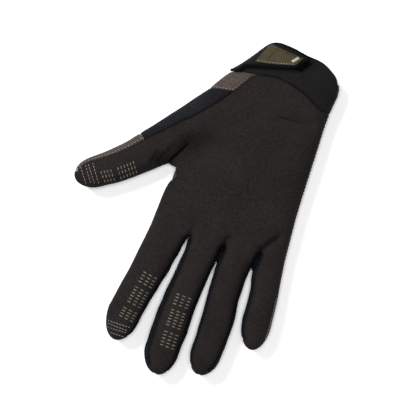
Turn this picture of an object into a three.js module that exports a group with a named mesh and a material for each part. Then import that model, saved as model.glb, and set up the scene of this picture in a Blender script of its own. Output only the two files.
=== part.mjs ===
import * as THREE from 'three';

// Sizes in mm. Fingers point to -Y, cuff to +Y, thumb to -X, palm faces +Z.
const palm_width = 90;
const palm_length = 110;
const index_length = 78;
const index_width = 23.4;
const middle_length = 89;
const middle_width = 22.6;
const ring_length = 83;
const ring_width = 21.4;
const little_length = 60;
const little_width = 19;
const thumb_length = 62;
const thumb_width = 22.5;
const thumb_angle = 220.5;

// Filling of the soft form
const edge_radius = 10.7;
const fill_limit = 12;
const mid_height = 9;
const finger_lift = 2;
const thumb_lift = 4;
const floor_softness = 0.8;

// Walls and seams
const suede_wall = 1.5;
const knit_wall = 1.3;
const back_wall = 1.4;
const cuff_wall = 2;
const seam_gap = 0.3;

// Closure
const tab_thickness = 2.4;
const tab_clearance_root = 0.7;
const tab_clearance_end = 2;
const hook_thickness = 1.2;
const hook_clearance = 0.45;
const patch_thickness = 0.7;
const patch_rim = 0.5;
const patch_clearance = 0.35;
const bar_thickness = 0.7;
const bar_clearance = 0.3;

// Roots of the digits, as shares of palm length and palm width
const roots = {
  index: { up: -0.209, out: -0.206 },
  middle: { up: -0.218, out: 0.066 },
  ring: { up: -0.191, out: 0.329 },
  little: { up: -0.155, out: 0.567 },
  thumb: { up: 0.261, out: -0.448 },
};

// Sections: along is a share of digit length, left and right are shares of its width
const digits = {
  index: {
    length: index_length,
    width: index_width,
    angle: 270,
    tip_quads: 4,
    tip_shift: 0,
    sections: [
      { along: 0, left: -0.547, right: 0.543 },
      { along: 0.35, left: -0.671, right: 0.338 },
      { along: 0.55, left: -0.769, right: 0.2 },
      { along: 0.75, left: -0.87, right: 0.078 },
    ],
  },
  middle: {
    length: middle_length,
    width: middle_width,
    angle: 270,
    tip_quads: 4,
    tip_shift: 0.05,
    sections: [
      { along: 0, left: -0.491, right: 0.509 },
      { along: 0.112, left: -0.496, right: 0.465 },
      { along: 0.292, left: -0.549, right: 0.412 },
      { along: 0.472, left: -0.606, right: 0.381 },
      { along: 0.652, left: -0.624, right: 0.394 },
      { along: 0.82, left: -0.606, right: 0.372 },
    ],
  },
  ring: {
    length: ring_length,
    width: ring_width,
    angle: 270,
    tip_quads: 4,
    tip_shift: 0,
    sections: [
      { along: 0, left: -0.533, right: 0.528 },
      { along: 0.133, left: -0.556, right: 0.453 },
      { along: 0.349, left: -0.519, right: 0.463 },
      { along: 0.542, left: -0.449, right: 0.556 },
      { along: 0.795, left: -0.407, right: 0.542 },
    ],
  },
  little: {
    length: little_length,
    width: little_width,
    angle: 270,
    tip_quads: 4,
    tip_shift: 0.09,
    sections: [
      { along: 0, left: -0.489, right: 0.421 },
      { along: 0.217, left: -0.5, right: 0.526 },
      { along: 0.417, left: -0.358, right: 0.632 },
      { along: 0.7, left: -0.284, right: 0.732 },
    ],
  },
  thumb: {
    length: thumb_length,
    width: thumb_width,
    angle: thumb_angle,
    tip_quads: 6,
    tip_shift: -0.04,
    sections: [
      { along: 0.032, left: -0.667, right: 0.52 },
      { along: 0.162, left: -0.604, right: 0.524 },
      { along: 0.356, left: -0.493, right: 0.538 },
      { along: 0.55, left: -0.436, right: 0.538 },
      { along: 0.744, left: -0.431, right: 0.48 },
    ],
  },
};

// Side lines: up is a share of palm length, out is a share of palm width
const thumb_side_line = [
  { up: 1.03, out: 0.03 },
  { up: 0.9, out: -0.072 },
  { up: 0.83, out: -0.148 },
  { up: 0.78, out: -0.203 },
  { up: 0.66, out: -0.294 },
  { up: 0.5, out: -0.439 },
];
const index_side_line = [
  { up: 0.159, out: -0.318 },
  { up: 0.1, out: -0.317 },
  { up: 0.03, out: -0.337 },
  { up: -0.09, out: -0.343 },
];
const little_side_line = [
  { up: -0.02, out: 0.639 },
  { up: 0.13, out: 0.622 },
  { up: 0.31, out: 0.611 },
  { up: 0.5, out: 0.602 },
  { up: 0.7, out: 0.592 },
  { up: 0.8, out: 0.596 },
  { up: 0.89, out: 0.604 },
  { up: 0.945, out: 0.592 },
];

// Seam between palm and cuff, and the cuff's open edge
const palm_seam_line = [
  { up: 0.855, out: 0.17 },
  { up: 0.825, out: 0.36 },
  { up: 0.765, out: 0.52 },
];
const cuff_edge_line = [
  { up: 1.04, out: 0.27 },
  { up: 1.03, out: 0.42 },
  { up: 1.0, out: 0.505 },
  { up: 0.972, out: 0.555 },
];

// Where the side panels change, as shares of palm length
const cuff_seam_left = 0.816;
const brown_end = 0.672;
const thumb_root = 0.52;
const navy_end = 0.278;
const cuff_seam_right = 0.761;

// Band round the outline: inset of the seam on the palm side and on the back, mm
const bands = {
  cuff_left: { top: [13, 15.3], under: [8, 9], level: [1, 1] },
  wrist_brown: { top: [15.3, 15.4], under: [9, 9], level: [1, 1] },
  wrist_navy: { top: [15.4, 9.6], under: [9, 6], level: [1, 0] },
  thumb_navy: { top: [9.2, 5], under: [6, 5] },
  thumb_brown: { top: [5, 3.6], under: [5, 3] },
  thumb_tip: { top: [3.6, 2.6], under: [3, 3] },
  thumb_inner: { top: [2.6, 3], under: [3, 3] },
  index_side: { top: [3, 2.8], under: [3, 3] },
  index_outer: { top: [2.8, 2.6], under: [3, 3] },
  index_tip: { top: [2.6, 2.2], under: [3, 2.2] },
  index_inner: { top: [1.3, 2], under: [2.2, 2.2] },
  middle_left: { top: [2, 3.2], under: [2.2, 2.2] },
  middle_tip: { top: [3.2, 2.4], under: [2.4, 2.4] },
  middle_right: { top: [1.8, 2], under: [2.2, 2.2] },
  ring_left: { top: [2, 1.2], under: [2.2, 2.2] },
  ring_tip: { top: [1.6, 2.6], under: [2.4, 2.4] },
  ring_right: { top: [2.6, 2], under: [2.2, 2.2] },
  little_left: { top: [2, 1.2], under: [2.2, 2.2] },
  little_tip: { top: [2, 2], under: [2.4, 2.4] },
  little_outer: { top: [2, 2.4], under: [2.4, 2.6] },
  little_side: { top: [2.4, 3], under: [2.6, 4] },
  cuff_right: { top: [3, 1], under: [4, 1.4] },
};

// Folds: furrows from one plan point to another, as shares of palm length and width
const folds = [
  { up: 0.175, out: -0.385, up2: 0.33, out2: -0.285, depth: 4.6, spread: 3.2 },
  { up: 0.165, out: -0.475, up2: 0.175, out2: -0.46, depth: 1.2, spread: 4 },
  { up: 0.24, out: -0.27, up2: 0.3, out2: -0.2, depth: 3.4, spread: 11 },
  { up: 0.643, out: 0.26, up2: 0.662, out2: 0.49, depth: 1.1, spread: 2.6 },
  { up: -0.14, out: 0.46, up2: -0.025, out2: 0.55, depth: 2, spread: 2.6 },
  { up: -0.2, out: 0.2, up2: -0.13, out2: 0.212, depth: 2.2, spread: 2.6 },
  { up: -0.19, out: -0.06, up2: -0.12, out2: -0.045, depth: 1, spread: 3 },
];

// Closure outlines: up is a share of palm length, out is a share of palm width
const tab_lower_edge = [
  { up: 0.868, out: -0.025 },
  { up: 0.901, out: 0.093 },
  { up: 0.94, out: 0.24 },
];
const tab_upper_edge = [
  { up: 1.038, out: 0.075 },
  { up: 1.041, out: 0.162 },
  { up: 1.022, out: 0.318 },
];
const tab_root = { low: 0.826, high: 0.985 };
const patch_corners = [
  { up: 0.882, out: -0.02 },
  { up: 0.952, out: 0.24 },
  { up: 1.008, out: 0.279 },
  { up: 1.02, out: 0.058 },
];
const bar_corners = [
  { up: 0.968, out: 0.2 },
  { up: 0.96, out: 0.22 },
  { up: 0.998, out: 0.254 },
  { up: 1.006, out: 0.236 },
];
const hook_corners = [
  { up: 0.935, out: 0.18 },
  { up: 0.93, out: 0.305 },
  { up: 1.0, out: 0.352 },
  { up: 1.01, out: 0.2 },
];

const rad = Math.PI / 180;
const clamp01 = (v) => Math.min(1, Math.max(0, v));
const smooth = (v) => clamp01(v) ** 2 * (3 - 2 * clamp01(v));
const lerp = (a, b, t) => a + (b - a) * t;
const mix = (p, q, t) => [lerp(p[0], q[0], t), lerp(p[1], q[1], t)];
const add = (p, q, s = 1) => [p[0] + q[0] * s, p[1] + q[1] * s];
const plan = (row) => [row.out * palm_width, row.up * palm_length];

// Point of a digit's own frame in plan
function digitPoint(name, along, side) {
  const root = plan(roots[name]);
  const a = digits[name].angle * rad;
  const dir = [Math.cos(a), Math.sin(a)];
  return [
    root[0] + dir[0] * along - dir[1] * side,
    root[1] + dir[1] * along + dir[0] * side,
  ];
}

// Smooth curve through points, sampled densely
function spline(points, steps = 12) {
  const curve = new THREE.CatmullRomCurve3(
    points.map((p) => new THREE.Vector3(p[0], p[1], 0)),
    false,
    'centripetal',
  );
  return curve.getPoints(steps * (points.length - 1)).map((v) => [v.x, v.y]);
}

// Equal steps along a polyline
function resample(line, count) {
  const run = [0];
  for (let i = 1; i < line.length; i += 1) {
    run.push(run[i - 1] + Math.hypot(line[i][0] - line[i - 1][0], line[i][1] - line[i - 1][1]));
  }
  const result = [];
  let seg = 0;
  for (let i = 0; i <= count; i += 1) {
    const target = (run[run.length - 1] * i) / count;
    while (seg < run.length - 2 && run[seg + 1] < target) seg += 1;
    const share = (target - run[seg]) / (run[seg + 1] - run[seg]);
    result.push(mix(line[seg], line[seg + 1], clamp01(share)));
  }
  return result;
}

// Parts of a polyline that falls or rises steadily, split at given heights
function splitAt(line, heights) {
  const parts = [];
  let part = [line[0]];
  let wanted = 0;
  for (let i = 1; i < line.length; i += 1) {
    const a = line[i - 1];
    const b = line[i];
    while (wanted < heights.length && (a[1] - heights[wanted]) * (b[1] - heights[wanted]) <= 0) {
      const cut = mix(a, b, clamp01((heights[wanted] - a[1]) / (b[1] - a[1] || 1)));
      part.push(cut);
      parts.push(part);
      part = [cut];
      wanted += 1;
    }
    part.push(b);
  }
  parts.push(part);
  return parts;
}

// Sides and tip of one digit: the tip is half an ellipse cut at the corner angle
const tip_corner = 48;
function digitLines(name) {
  const d = digits[name];
  const last = d.sections[d.sections.length - 1];
  const half = ((last.right - last.left) / 2) * d.width;
  const centre = ((last.right + last.left) / 2) * d.width;
  const reach = (1 - last.along) * d.length;
  const tipPoint = (deg) => {
    const s = Math.sin(deg * rad);
    const side = centre - half * Math.cos(deg * rad) + d.tip_shift * d.width * s;
    return digitPoint(name, last.along * d.length + reach * s, side);
  };
  const arc = (from, to) => Array.from({ length: 13 }, (_, i) => tipPoint(lerp(from, to, i / 12)));
  const side = (key) => d.sections.map((r) => digitPoint(name, r.along * d.length, r[key] * d.width));
  return {
    left: side('left'),
    right: side('right').reverse(),
    leftArc: arc(0, tip_corner),
    tip: arc(tip_corner, 180 - tip_corner),
    rightArc: arc(180 - tip_corner, 180),
  };
}

// Outline in plan, counter-clockwise from the cuff's thumb side
const line = Object.fromEntries(Object.keys(digits).map((name) => [name, digitLines(name)]));
const middleOf = (p, q) => [(p[0] + q[0]) / 2, Math.max(p[1], q[1]) + 1.2];
const web1 = middleOf(line.index.right.at(-1), line.middle.left[0]);
const web2 = middleOf(line.middle.right.at(-1), line.ring.left[0]);
const web3 = middleOf(line.ring.right.at(-1), line.little.left[0]);
const crotch = plan(index_side_line[0]);
const thumbUpper = spline([...thumb_side_line.map(plan), ...line.thumb.left]);
const [cuffLeft, wristBrown, wristNavy, thumbNavy, thumbBrown] = splitAt(
  thumbUpper,
  [cuff_seam_left, brown_end, thumb_root, navy_end].map((v) => v * palm_length),
);
const [littleSide, cuffRight] = splitAt(
  spline([line.little.right.at(-1), ...little_side_line.map(plan)]),
  [cuff_seam_right * palm_length],
);
const inward = (name) => line[name].rightArc.concat(spline(line[name].right).slice(1));
const outward = (name) => spline(line[name].left).concat(line[name].leftArc.slice(1));

const outline_parts = [
  { band: 'cuff_left', quads: 4, path: cuffLeft },
  { band: 'wrist_brown', quads: 2, path: wristBrown },
  { band: 'wrist_navy', quads: 2, path: wristNavy },
  { band: 'thumb_navy', quads: 5, path: thumbNavy },
  { band: 'thumb_brown', quads: 5, path: thumbBrown.concat(line.thumb.leftArc.slice(1)) },
  { band: 'thumb_tip', quads: digits.thumb.tip_quads, path: line.thumb.tip },
  { band: 'thumb_inner', quads: 10, path: inward('thumb').concat([crotch]) },
  { band: 'index_side', quads: 5, path: spline([...index_side_line.map(plan), line.index.left[0]]) },
  { band: 'index_outer', quads: 12, path: outward('index') },
  { band: 'index_tip', quads: digits.index.tip_quads, path: line.index.tip },
  { band: 'index_inner', quads: 12, path: inward('index').concat([web1]) },
  { band: 'middle_left', quads: 13, path: [web1].concat(outward('middle')) },
  { band: 'middle_tip', quads: digits.middle.tip_quads, path: line.middle.tip },
  { band: 'middle_right', quads: 13, path: inward('middle').concat([web2]) },
  { band: 'ring_left', quads: 13, path: [web2].concat(outward('ring')) },
  { band: 'ring_tip', quads: digits.ring.tip_quads, path: line.ring.tip },
  { band: 'ring_right', quads: 13, path: inward('ring').concat([web3]) },
  { band: 'little_left', quads: 10, path: [web3].concat(outward('little')) },
  { band: 'little_tip', quads: digits.little.tip_quads, path: line.little.tip },
  { band: 'little_outer', quads: 10, path: inward('little') },
  { band: 'little_side', quads: 15, path: littleSide },
  { band: 'cuff_right', quads: 4, path: cuffRight },
];

// Samples of the outline, each with its inward direction and seam insets
const wrist_direction = [1, 0.15];
const samples = [];
const first = {};
for (const part of outline_parts) {
  const points = resample(part.path, part.quads);
  first[part.band] = samples.length === 0 ? 0 : samples.length - 1;
  const { top, under, level = [0, 0] } = bands[part.band];
  points.forEach((at, i) => {
    const t = i / part.quads;
    const sample = {
      at,
      top: lerp(top[0], top[1], t),
      under: lerp(under[0], under[1], t),
      level: lerp(level[0], level[1], t),
    };
    if (i === 0 && samples.length > 0) {
      const joint = samples[samples.length - 1];
      joint.top = (joint.top + sample.top) / 2;
      joint.under = (joint.under + sample.under) / 2;
    } else {
      samples.push(sample);
    }
  });
}
samples.forEach((s, i) => {
  const a = samples[Math.max(0, i - 1)].at;
  const b = samples[Math.min(samples.length - 1, i + 1)].at;
  const size = Math.hypot(b[0] - a[0], b[1] - a[1]);
  const square = [-(b[1] - a[1]) / size, (b[0] - a[0]) / size];
  s.into = mix(square, wrist_direction, s.level);
});
for (const band of ['middle_left', 'ring_left', 'little_left']) samples[first[band]].into = [0, 1];

// Mean distance to the outline, the cuff's mouth left open
const mouth_reach = 50;
const rim = samples.map((s) => s.at);
rim.push([rim.at(-1)[0], rim.at(-1)[1] + mouth_reach]);
rim.push([rim[0][0], rim[0][1] + mouth_reach]);
function meanDistance(p) {
  let weight = 0;
  for (let i = 0; i < rim.length; i += 1) {
    const a = [rim[i][0] - p[0], rim[i][1] - p[1]];
    const b = [rim[(i + 1) % rim.length][0] - p[0], rim[(i + 1) % rim.length][1] - p[1]];
    const ra = Math.hypot(a[0], a[1]);
    const rb = Math.hypot(b[0], b[1]);
    if (ra < 1e-6 || rb < 1e-6) return 0;
    const cross = a[0] * b[1] - a[1] * b[0];
    const dot = a[0] * b[0] + a[1] * b[1];
    weight += (1 / ra + 1 / rb) * Math.tan(Math.atan2(cross, dot) / 2);
  }
  return weight > 0 ? 2 / weight : 0;
}

// Half thickness, middle height and folds of the soft form
function halfThickness(p) {
  const d = meanDistance(p);
  return Math.sqrt((2 * edge_radius * d) / (1 + d / fill_limit));
}
function middleHeight(p) {
  const reach = clamp01((plan(roots.middle)[1] - p[1]) / middle_length);
  const root = plan(roots.thumb);
  const a = thumb_angle * rad;
  const rel = [p[0] - root[0], p[1] - root[1]];
  const along = rel[0] * Math.cos(a) + rel[1] * Math.sin(a);
  const side = rel[1] * Math.cos(a) - rel[0] * Math.sin(a);
  const mask = 1 - smooth((side - thumb_width / 2) / thumb_width);
  const thumb = clamp01(along / thumb_length) ** 2 * mask;
  return mid_height + finger_lift * reach ** 2 + thumb_lift * thumb;
}
function foldDepth(p) {
  let depth = 0;
  for (const f of folds) {
    const a = plan(f);
    const b = plan({ up: f.up2, out: f.out2 });
    const ab = [b[0] - a[0], b[1] - a[1]];
    const t = clamp01(((p[0] - a[0]) * ab[0] + (p[1] - a[1]) * ab[1]) / (ab[0] ** 2 + ab[1] ** 2));
    const off = Math.hypot(p[0] - a[0] - ab[0] * t, p[1] - a[1] - ab[1] * t) / f.spread;
    depth += f.depth * Math.exp(-off * off);
  }
  return depth;
}
function onFloor(z) {
  if (z <= -floor_softness) return 0;
  if (z >= floor_softness) return z;
  return (z + floor_softness) ** 2 / (4 * floor_softness);
}
function surface(p, upper) {
  const half = halfThickness(p);
  const mid = middleHeight(p);
  if (!upper) return [p[0], p[1], onFloor(mid - half)];
  return [p[0], p[1], mid + Math.max(0, half - foldDepth(p) * Math.min(1, half / 6))];
}

// Shared skin of the whole glove: points are joined where they coincide
const points = [];
const found = new Map();
function pointAt(position) {
  const key = position.map((v) => Math.round(v * 1000)).join(',');
  if (!found.has(key)) {
    found.set(key, points.length);
    points.push(position);
  }
  return found.get(key);
}
const cells = [];
function addCell(label, corners, facing) {
  const [a, b, c, d] = corners.map((i) => points[i]);
  const u = new THREE.Vector3(c[0] - a[0], c[1] - a[1], c[2] - a[2]);
  const v = new THREE.Vector3(d[0] - b[0], d[1] - b[1], d[2] - b[2]);
  const up = u.cross(v).dot(new THREE.Vector3(...facing)) > 0;
  cells.push({ label, corners: up ? corners : [...corners].reverse() });
}

// Grid between four edge lines
function fourSided(bottom, top, left, right) {
  const m = bottom.length - 1;
  const n = left.length - 1;
  const grid = [];
  for (let j = 0; j <= n; j += 1) {
    const v = j / n;
    const row = [];
    for (let i = 0; i <= m; i += 1) {
      const u = i / m;
      const across = mix(left[j], right[j], u);
      const along = mix(bottom[i], top[i], v);
      const corners = mix(mix(bottom[0], bottom[m], u), mix(top[0], top[m], u), v);
      row.push([across[0] + along[0] - corners[0], across[1] + along[1] - corners[1]]);
    }
    grid.push(row);
  }
  return grid;
}
function layGrid(grid, label, upper) {
  const ids = grid.map((row) => row.map((p) => pointAt(surface(p, upper))));
  for (let j = 0; j + 1 < ids.length; j += 1) {
    for (let i = 0; i + 1 < ids[j].length; i += 1) {
      const corners = [ids[j][i], ids[j][i + 1], ids[j + 1][i + 1], ids[j + 1][i]];
      addCell(label, corners, [0, 0, upper ? 1 : -1]);
    }
  }
}

// Inner grids of palm side and back
const insetLine = (band, key) => {
  const part = outline_parts.find((p) => p.band === band);
  return samples.slice(first[band], first[band] + part.quads + 1).map((s) => add(s.at, s.into, s[key]));
};
const straight = (p, q, n) => Array.from({ length: n + 1 }, (_, i) => mix(p, q, i / n));
const joined = (...lines) => lines.reduce((all, l) => all.concat(all.length ? l.slice(1) : l), []);
const flipped = (l) => [...l].reverse();
const digit_bands = {
  thumb: [['thumb_navy', 'thumb_brown'], 'thumb_tip', 'thumb_inner'],
  index: [['index_outer'], 'index_tip', 'index_inner'],
  middle: [['middle_left'], 'middle_tip', 'middle_right'],
  ring: [['ring_left'], 'ring_tip', 'ring_right'],
  little: [['little_left'], 'little_tip', 'little_outer'],
};
function layHalf(upper, label) {
  const key = upper ? 'top' : 'under';
  const rootLines = {};
  for (const [name, [leftBands, tipBand, rightBand]] of Object.entries(digit_bands)) {
    const left = joined(...leftBands.map((b) => insetLine(b, key)));
    const right = flipped(insetLine(rightBand, key));
    const tip = insetLine(tipBand, key);
    rootLines[name] = straight(left[0], right[0], digits[name].tip_quads);
    layGrid(fourSided(rootLines[name], tip, left, right), label, upper);
  }
  const bottom = joined(rootLines.index, rootLines.middle, rootLines.ring, rootLines.little);
  const wrist = joined(insetLine('wrist_brown', key), insetLine('wrist_navy', key));
  const left = joined(flipped(insetLine('index_side', key)), flipped(rootLines.thumb), flipped(wrist));
  const right = insetLine('little_side', key);
  const seamLine = upper
    ? resample(spline([left.at(-1), ...palm_seam_line.map(plan), right.at(-1)]), bottom.length - 1)
    : straight(left.at(-1), right.at(-1), bottom.length - 1);
  layGrid(fourSided(bottom, seamLine, left, right), label, upper);
  const cuffL = flipped(insetLine('cuff_left', key));
  const cuffR = insetLine('cuff_right', key);
  const edgeLine = spline([cuffL.at(-1), ...cuff_edge_line.map(plan), cuffR.at(-1)]);
  const edge = resample(edgeLine, bottom.length - 1);
  layGrid(fourSided(seamLine, edge, cuffL, cuffR), 'cuff', upper);
}
layHalf(true, 'palm_panel');
layHalf(false, 'back_panel');

// Band of cells that turns round the outline, from the palm side to the back
const turn = Math.SQRT1_2;
function chain(s) {
  return [
    surface(add(s.at, s.into, s.top), true),
    surface(add(s.at, s.into, s.top * (1 - turn)), true),
    [s.at[0], s.at[1], middleHeight(s.at)],
    surface(add(s.at, s.into, s.under * (1 - turn)), false),
    surface(add(s.at, s.into, s.under), false),
  ].map(pointAt);
}
const band_pieces = {
  cuff_left: () => 'cuff',
  cuff_right: () => 'cuff',
  wrist_brown: () => 'back_panel',
  wrist_navy: () => 'thumb_side_panel',
  thumb_navy: () => 'thumb_side_panel',
  thumb_brown: () => 'back_panel',
  thumb_tip: (step) => (step < 1 ? 'back_panel' : 'palm_panel'),
  thumb_inner: () => 'palm_panel',
  index_side: (step) => (step < 1 ? 'back_panel' : 'palm_panel'),
  index_outer: () => 'palm_panel',
  index_tip: () => 'palm_panel',
  index_inner: () => 'fourchette_index_middle',
  middle_left: () => 'fourchette_index_middle',
  middle_tip: (step, turnStep) => (step < 2 && turnStep > 0 ? 'fourchette_index_middle' : 'palm_panel'),
  middle_right: () => 'fourchette_middle_ring',
  ring_left: () => 'fourchette_middle_ring',
  ring_tip: (step, turnStep) => (step > 1 && turnStep > 0 ? 'fourchette_ring_little' : 'palm_panel'),
  ring_right: () => 'fourchette_ring_little',
  little_left: () => 'fourchette_ring_little',
  little_tip: () => 'palm_panel',
  little_outer: (step, turnStep) => (turnStep < 2 ? 'palm_panel' : 'back_panel'),
  little_side: (step, turnStep) => (turnStep < 2 ? 'palm_panel' : 'back_panel'),
};
const chains = samples.map(chain);
for (const part of outline_parts) {
  for (let i = 0; i < part.quads; i += 1) {
    const at = first[part.band] + i;
    for (let k = 0; k < 4; k += 1) {
      const corners = [chains[at][k], chains[at][k + 1], chains[at + 1][k + 1], chains[at + 1][k]];
      const out = add(samples[at].into, samples[at + 1].into);
      addCell(band_pieces[part.band](i, k), corners, [-out[0], -out[1], k < 2 ? 1 : -1]);
    }
  }
}

// Outward direction at every point of the skin
const normals = points.map(() => new THREE.Vector3());
for (const cell of cells) {
  const [a, b, c, d] = cell.corners.map((i) => new THREE.Vector3(...points[i]));
  const n = c.clone().sub(a).cross(d.clone().sub(b));
  cell.corners.forEach((i) => normals[i].add(n));
}
normals.forEach((n) => n.normalize());

// Cloth piece: its cells thickened inwards, edges drawn back by half the seam gap
function clothPiece(label, wall) {
  const own = cells.filter((cell) => cell.label === label);
  const edges = new Map();
  for (const cell of own) {
    cell.corners.forEach((a, i) => {
      const b = cell.corners[(i + 1) % 4];
      if (edges.has(`${b},${a}`)) edges.delete(`${b},${a}`);
      else edges.set(`${a},${b}`, [a, b]);
    });
  }
  const shift = new Map();
  for (const [a, b] of edges.values()) {
    for (const i of [a, b]) {
      const run = new THREE.Vector3(...points[b]).sub(new THREE.Vector3(...points[a]));
      const into = normals[i].clone().cross(run).normalize();
      if (!shift.has(i)) shift.set(i, []);
      shift.get(i).push(into);
    }
  }
  const ids = new Map();
  const outer = [];
  const inner = [];
  for (const i of new Set(own.flatMap((cell) => cell.corners))) {
    const p = new THREE.Vector3(...points[i]);
    if (shift.has(i)) {
      const [m, n] = shift.get(i);
      const both = m.clone().add(n ?? m);
      p.addScaledVector(both, seam_gap / 2 / Math.max(0.5, 1 + m.dot(n ?? m)));
      if (p.z < 0) p.z = 0;
    }
    ids.set(i, outer.length);
    outer.push(p);
    inner.push(p.clone().addScaledVector(normals[i], -wall));
  }
  const count = outer.length;
  const faces = [];
  for (const cell of own) {
    const [a, b, c, d] = cell.corners.map((i) => ids.get(i));
    faces.push([a, b, c], [a, c, d]);
    faces.push([a + count, c + count, b + count], [a + count, d + count, c + count]);
  }
  for (const [i, j] of edges.values()) {
    const a = ids.get(i);
    const b = ids.get(j);
    if (i < j) faces.push([a, a + count, b + count], [a, b + count, b]);
    else faces.push([a, a + count, b], [a + count, b + count, b]);
  }
  return solid(outer.concat(inner), faces);
}
function solid(vectors, faces) {
  const geometry = new THREE.BufferGeometry();
  const positions = vectors.flatMap((v) => [v.x, v.y, v.z]);
  geometry.setAttribute('position', new THREE.Float32BufferAttribute(positions, 3));
  geometry.setIndex(faces.flat());
  return geometry;
}

// Slab that follows the palm side at a height above it
function skinFrame(p) {
  const e = 0.05;
  const at = surface(p, true);
  const dx = surface([p[0] + e, p[1]], true)[2] - surface([p[0] - e, p[1]], true)[2];
  const dy = surface([p[0], p[1] + e], true)[2] - surface([p[0], p[1] - e], true)[2];
  return { at: new THREE.Vector3(...at), normal: new THREE.Vector3(-dx, -dy, 2 * e).normalize() };
}
function slab(frames, low, high, edge) {
  const rows = frames.length;
  const cols = frames[0].length;
  const vectors = [];
  const level = (height, inset) => {
    const start = vectors.length;
    for (let j = 0; j < rows; j += 1) {
      for (let i = 0; i < cols; i += 1) {
        const { at, normal } = frames[j][i];
        const jn = frames[Math.min(rows - 1, Math.max(0, j + (j === 0) - (j === rows - 1)))][i].at;
        const inn = frames[j][Math.min(cols - 1, Math.max(0, i + (i === 0) - (i === cols - 1)))].at;
        const p = at.clone();
        for (const near of [jn, inn]) {
          const to = near.clone().sub(at);
          if (to.length() > 1e-6) p.addScaledVector(to.normalize(), inset);
        }
        vectors.push(p.addScaledVector(normal, height(j / (rows - 1), i / (cols - 1))));
      }
    }
    return start;
  };
  const bottom = level(low, edge);
  const lowRing = level((u, v) => lerp(low(u, v), high(u, v), 0.3), 0);
  const highRing = level((u, v) => lerp(low(u, v), high(u, v), 0.7), 0);
  const top = level(high, edge);
  const faces = [];
  const id = (start, j, i) => start + j * cols + i;
  for (let j = 0; j + 1 < rows; j += 1) {
    for (let i = 0; i + 1 < cols; i += 1) {
      faces.push([id(top, j, i), id(top, j, i + 1), id(top, j + 1, i + 1)]);
      faces.push([id(top, j, i), id(top, j + 1, i + 1), id(top, j + 1, i)]);
      faces.push([id(bottom, j, i), id(bottom, j + 1, i + 1), id(bottom, j, i + 1)]);
      faces.push([id(bottom, j, i), id(bottom, j + 1, i), id(bottom, j + 1, i + 1)]);
    }
  }
  const loop = [];
  for (let i = 0; i < cols; i += 1) loop.push([0, i]);
  for (let j = 1; j < rows; j += 1) loop.push([j, cols - 1]);
  for (let i = cols - 2; i >= 0; i -= 1) loop.push([rows - 1, i]);
  for (let j = rows - 2; j > 0; j -= 1) loop.push([j, 0]);
  for (const [low1, high1] of [[bottom, lowRing], [lowRing, highRing], [highRing, top]]) {
    loop.forEach(([j, i], k) => {
      const [j2, i2] = loop[(k + 1) % loop.length];
      faces.push([id(low1, j, i), id(low1, j2, i2), id(high1, j2, i2)]);
      faces.push([id(low1, j, i), id(high1, j2, i2), id(high1, j, i)]);
    });
  }
  const used = new Map();
  const kept = [];
  for (const f of faces) {
    f.forEach((v, k) => {
      if (!used.has(v)) {
        used.set(v, kept.length);
        kept.push(vectors[v]);
      }
      f[k] = used.get(v);
    });
  }
  return solid(kept, faces);
}

// Closure tab: starts on the thumb-side edge of the cuff and lies over it
const tab_columns = 12;
const tab_rows = 4;
function tabFrames() {
  const [, rootLine] = splitAt(thumbUpper, [tab_root.high, tab_root.low].map((v) => v * palm_length));
  const root = flipped(resample(rootLine, tab_rows));
  const lower = resample(spline([root[0], ...tab_lower_edge.map(plan)]), tab_columns);
  const upper = resample(spline([root[tab_rows], ...tab_upper_edge.map(plan)]), tab_columns);
  return Array.from({ length: tab_rows + 1 }, (_, j) =>
    Array.from({ length: tab_columns + 1 }, (_, i) => {
      const share = (i / tab_columns) ** 1.3;
      const at = Math.min(tab_columns - 1, Math.floor(share * tab_columns));
      const t = share * tab_columns - at;
      const low = mix(lower[at], lower[at + 1], t);
      const high = mix(upper[at], upper[at + 1], t);
      const p = mix(low, high, j / tab_rows);
      if (i > 0) return skinFrame(p);
      const q = root[j];
      return {
        at: new THREE.Vector3(q[0], q[1], middleHeight(q)),
        normal: new THREE.Vector3(-0.84, 0.54, 0),
      };
    }));
}
const tabClearance = (v) => lerp(tab_clearance_root, tab_clearance_end, smooth(v * 1.6));
const tab = slab(
  tabFrames(),
  (u, v) => tabClearance(v),
  (u, v) => tabClearance(v) + tab_thickness,
  0.7,
);

// Flat pieces with four corners, laid over the tab or under it
function quadFrames(corners, rows, cols) {
  const [a, b, c, d] = corners.map(plan);
  return Array.from({ length: rows + 1 }, (_, j) =>
    Array.from({ length: cols + 1 }, (_, i) =>
      skinFrame(mix(mix(a, b, i / cols), mix(d, c, i / cols), j / rows))));
}
const patch_low = tab_clearance_end + tab_thickness + patch_clearance;
const field = (u, v) => (u > 0.15 && u < 0.85 && v > 0.12 && v < 0.75 ? 0 : patch_rim);
const patch = slab(
  quadFrames(patch_corners, 8, 10),
  () => patch_low,
  (u, v) => patch_low + patch_thickness + field(u, v),
  0.3,
);
const bar_low = patch_low + patch_thickness + patch_rim + bar_clearance;
const bar = slab(quadFrames(bar_corners, 3, 2), () => bar_low, () => bar_low + bar_thickness, 0.2);
const hook = slab(
  quadFrames(hook_corners, 4, 4),
  () => hook_clearance,
  () => hook_clearance + hook_thickness,
  0.3,
);

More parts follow.
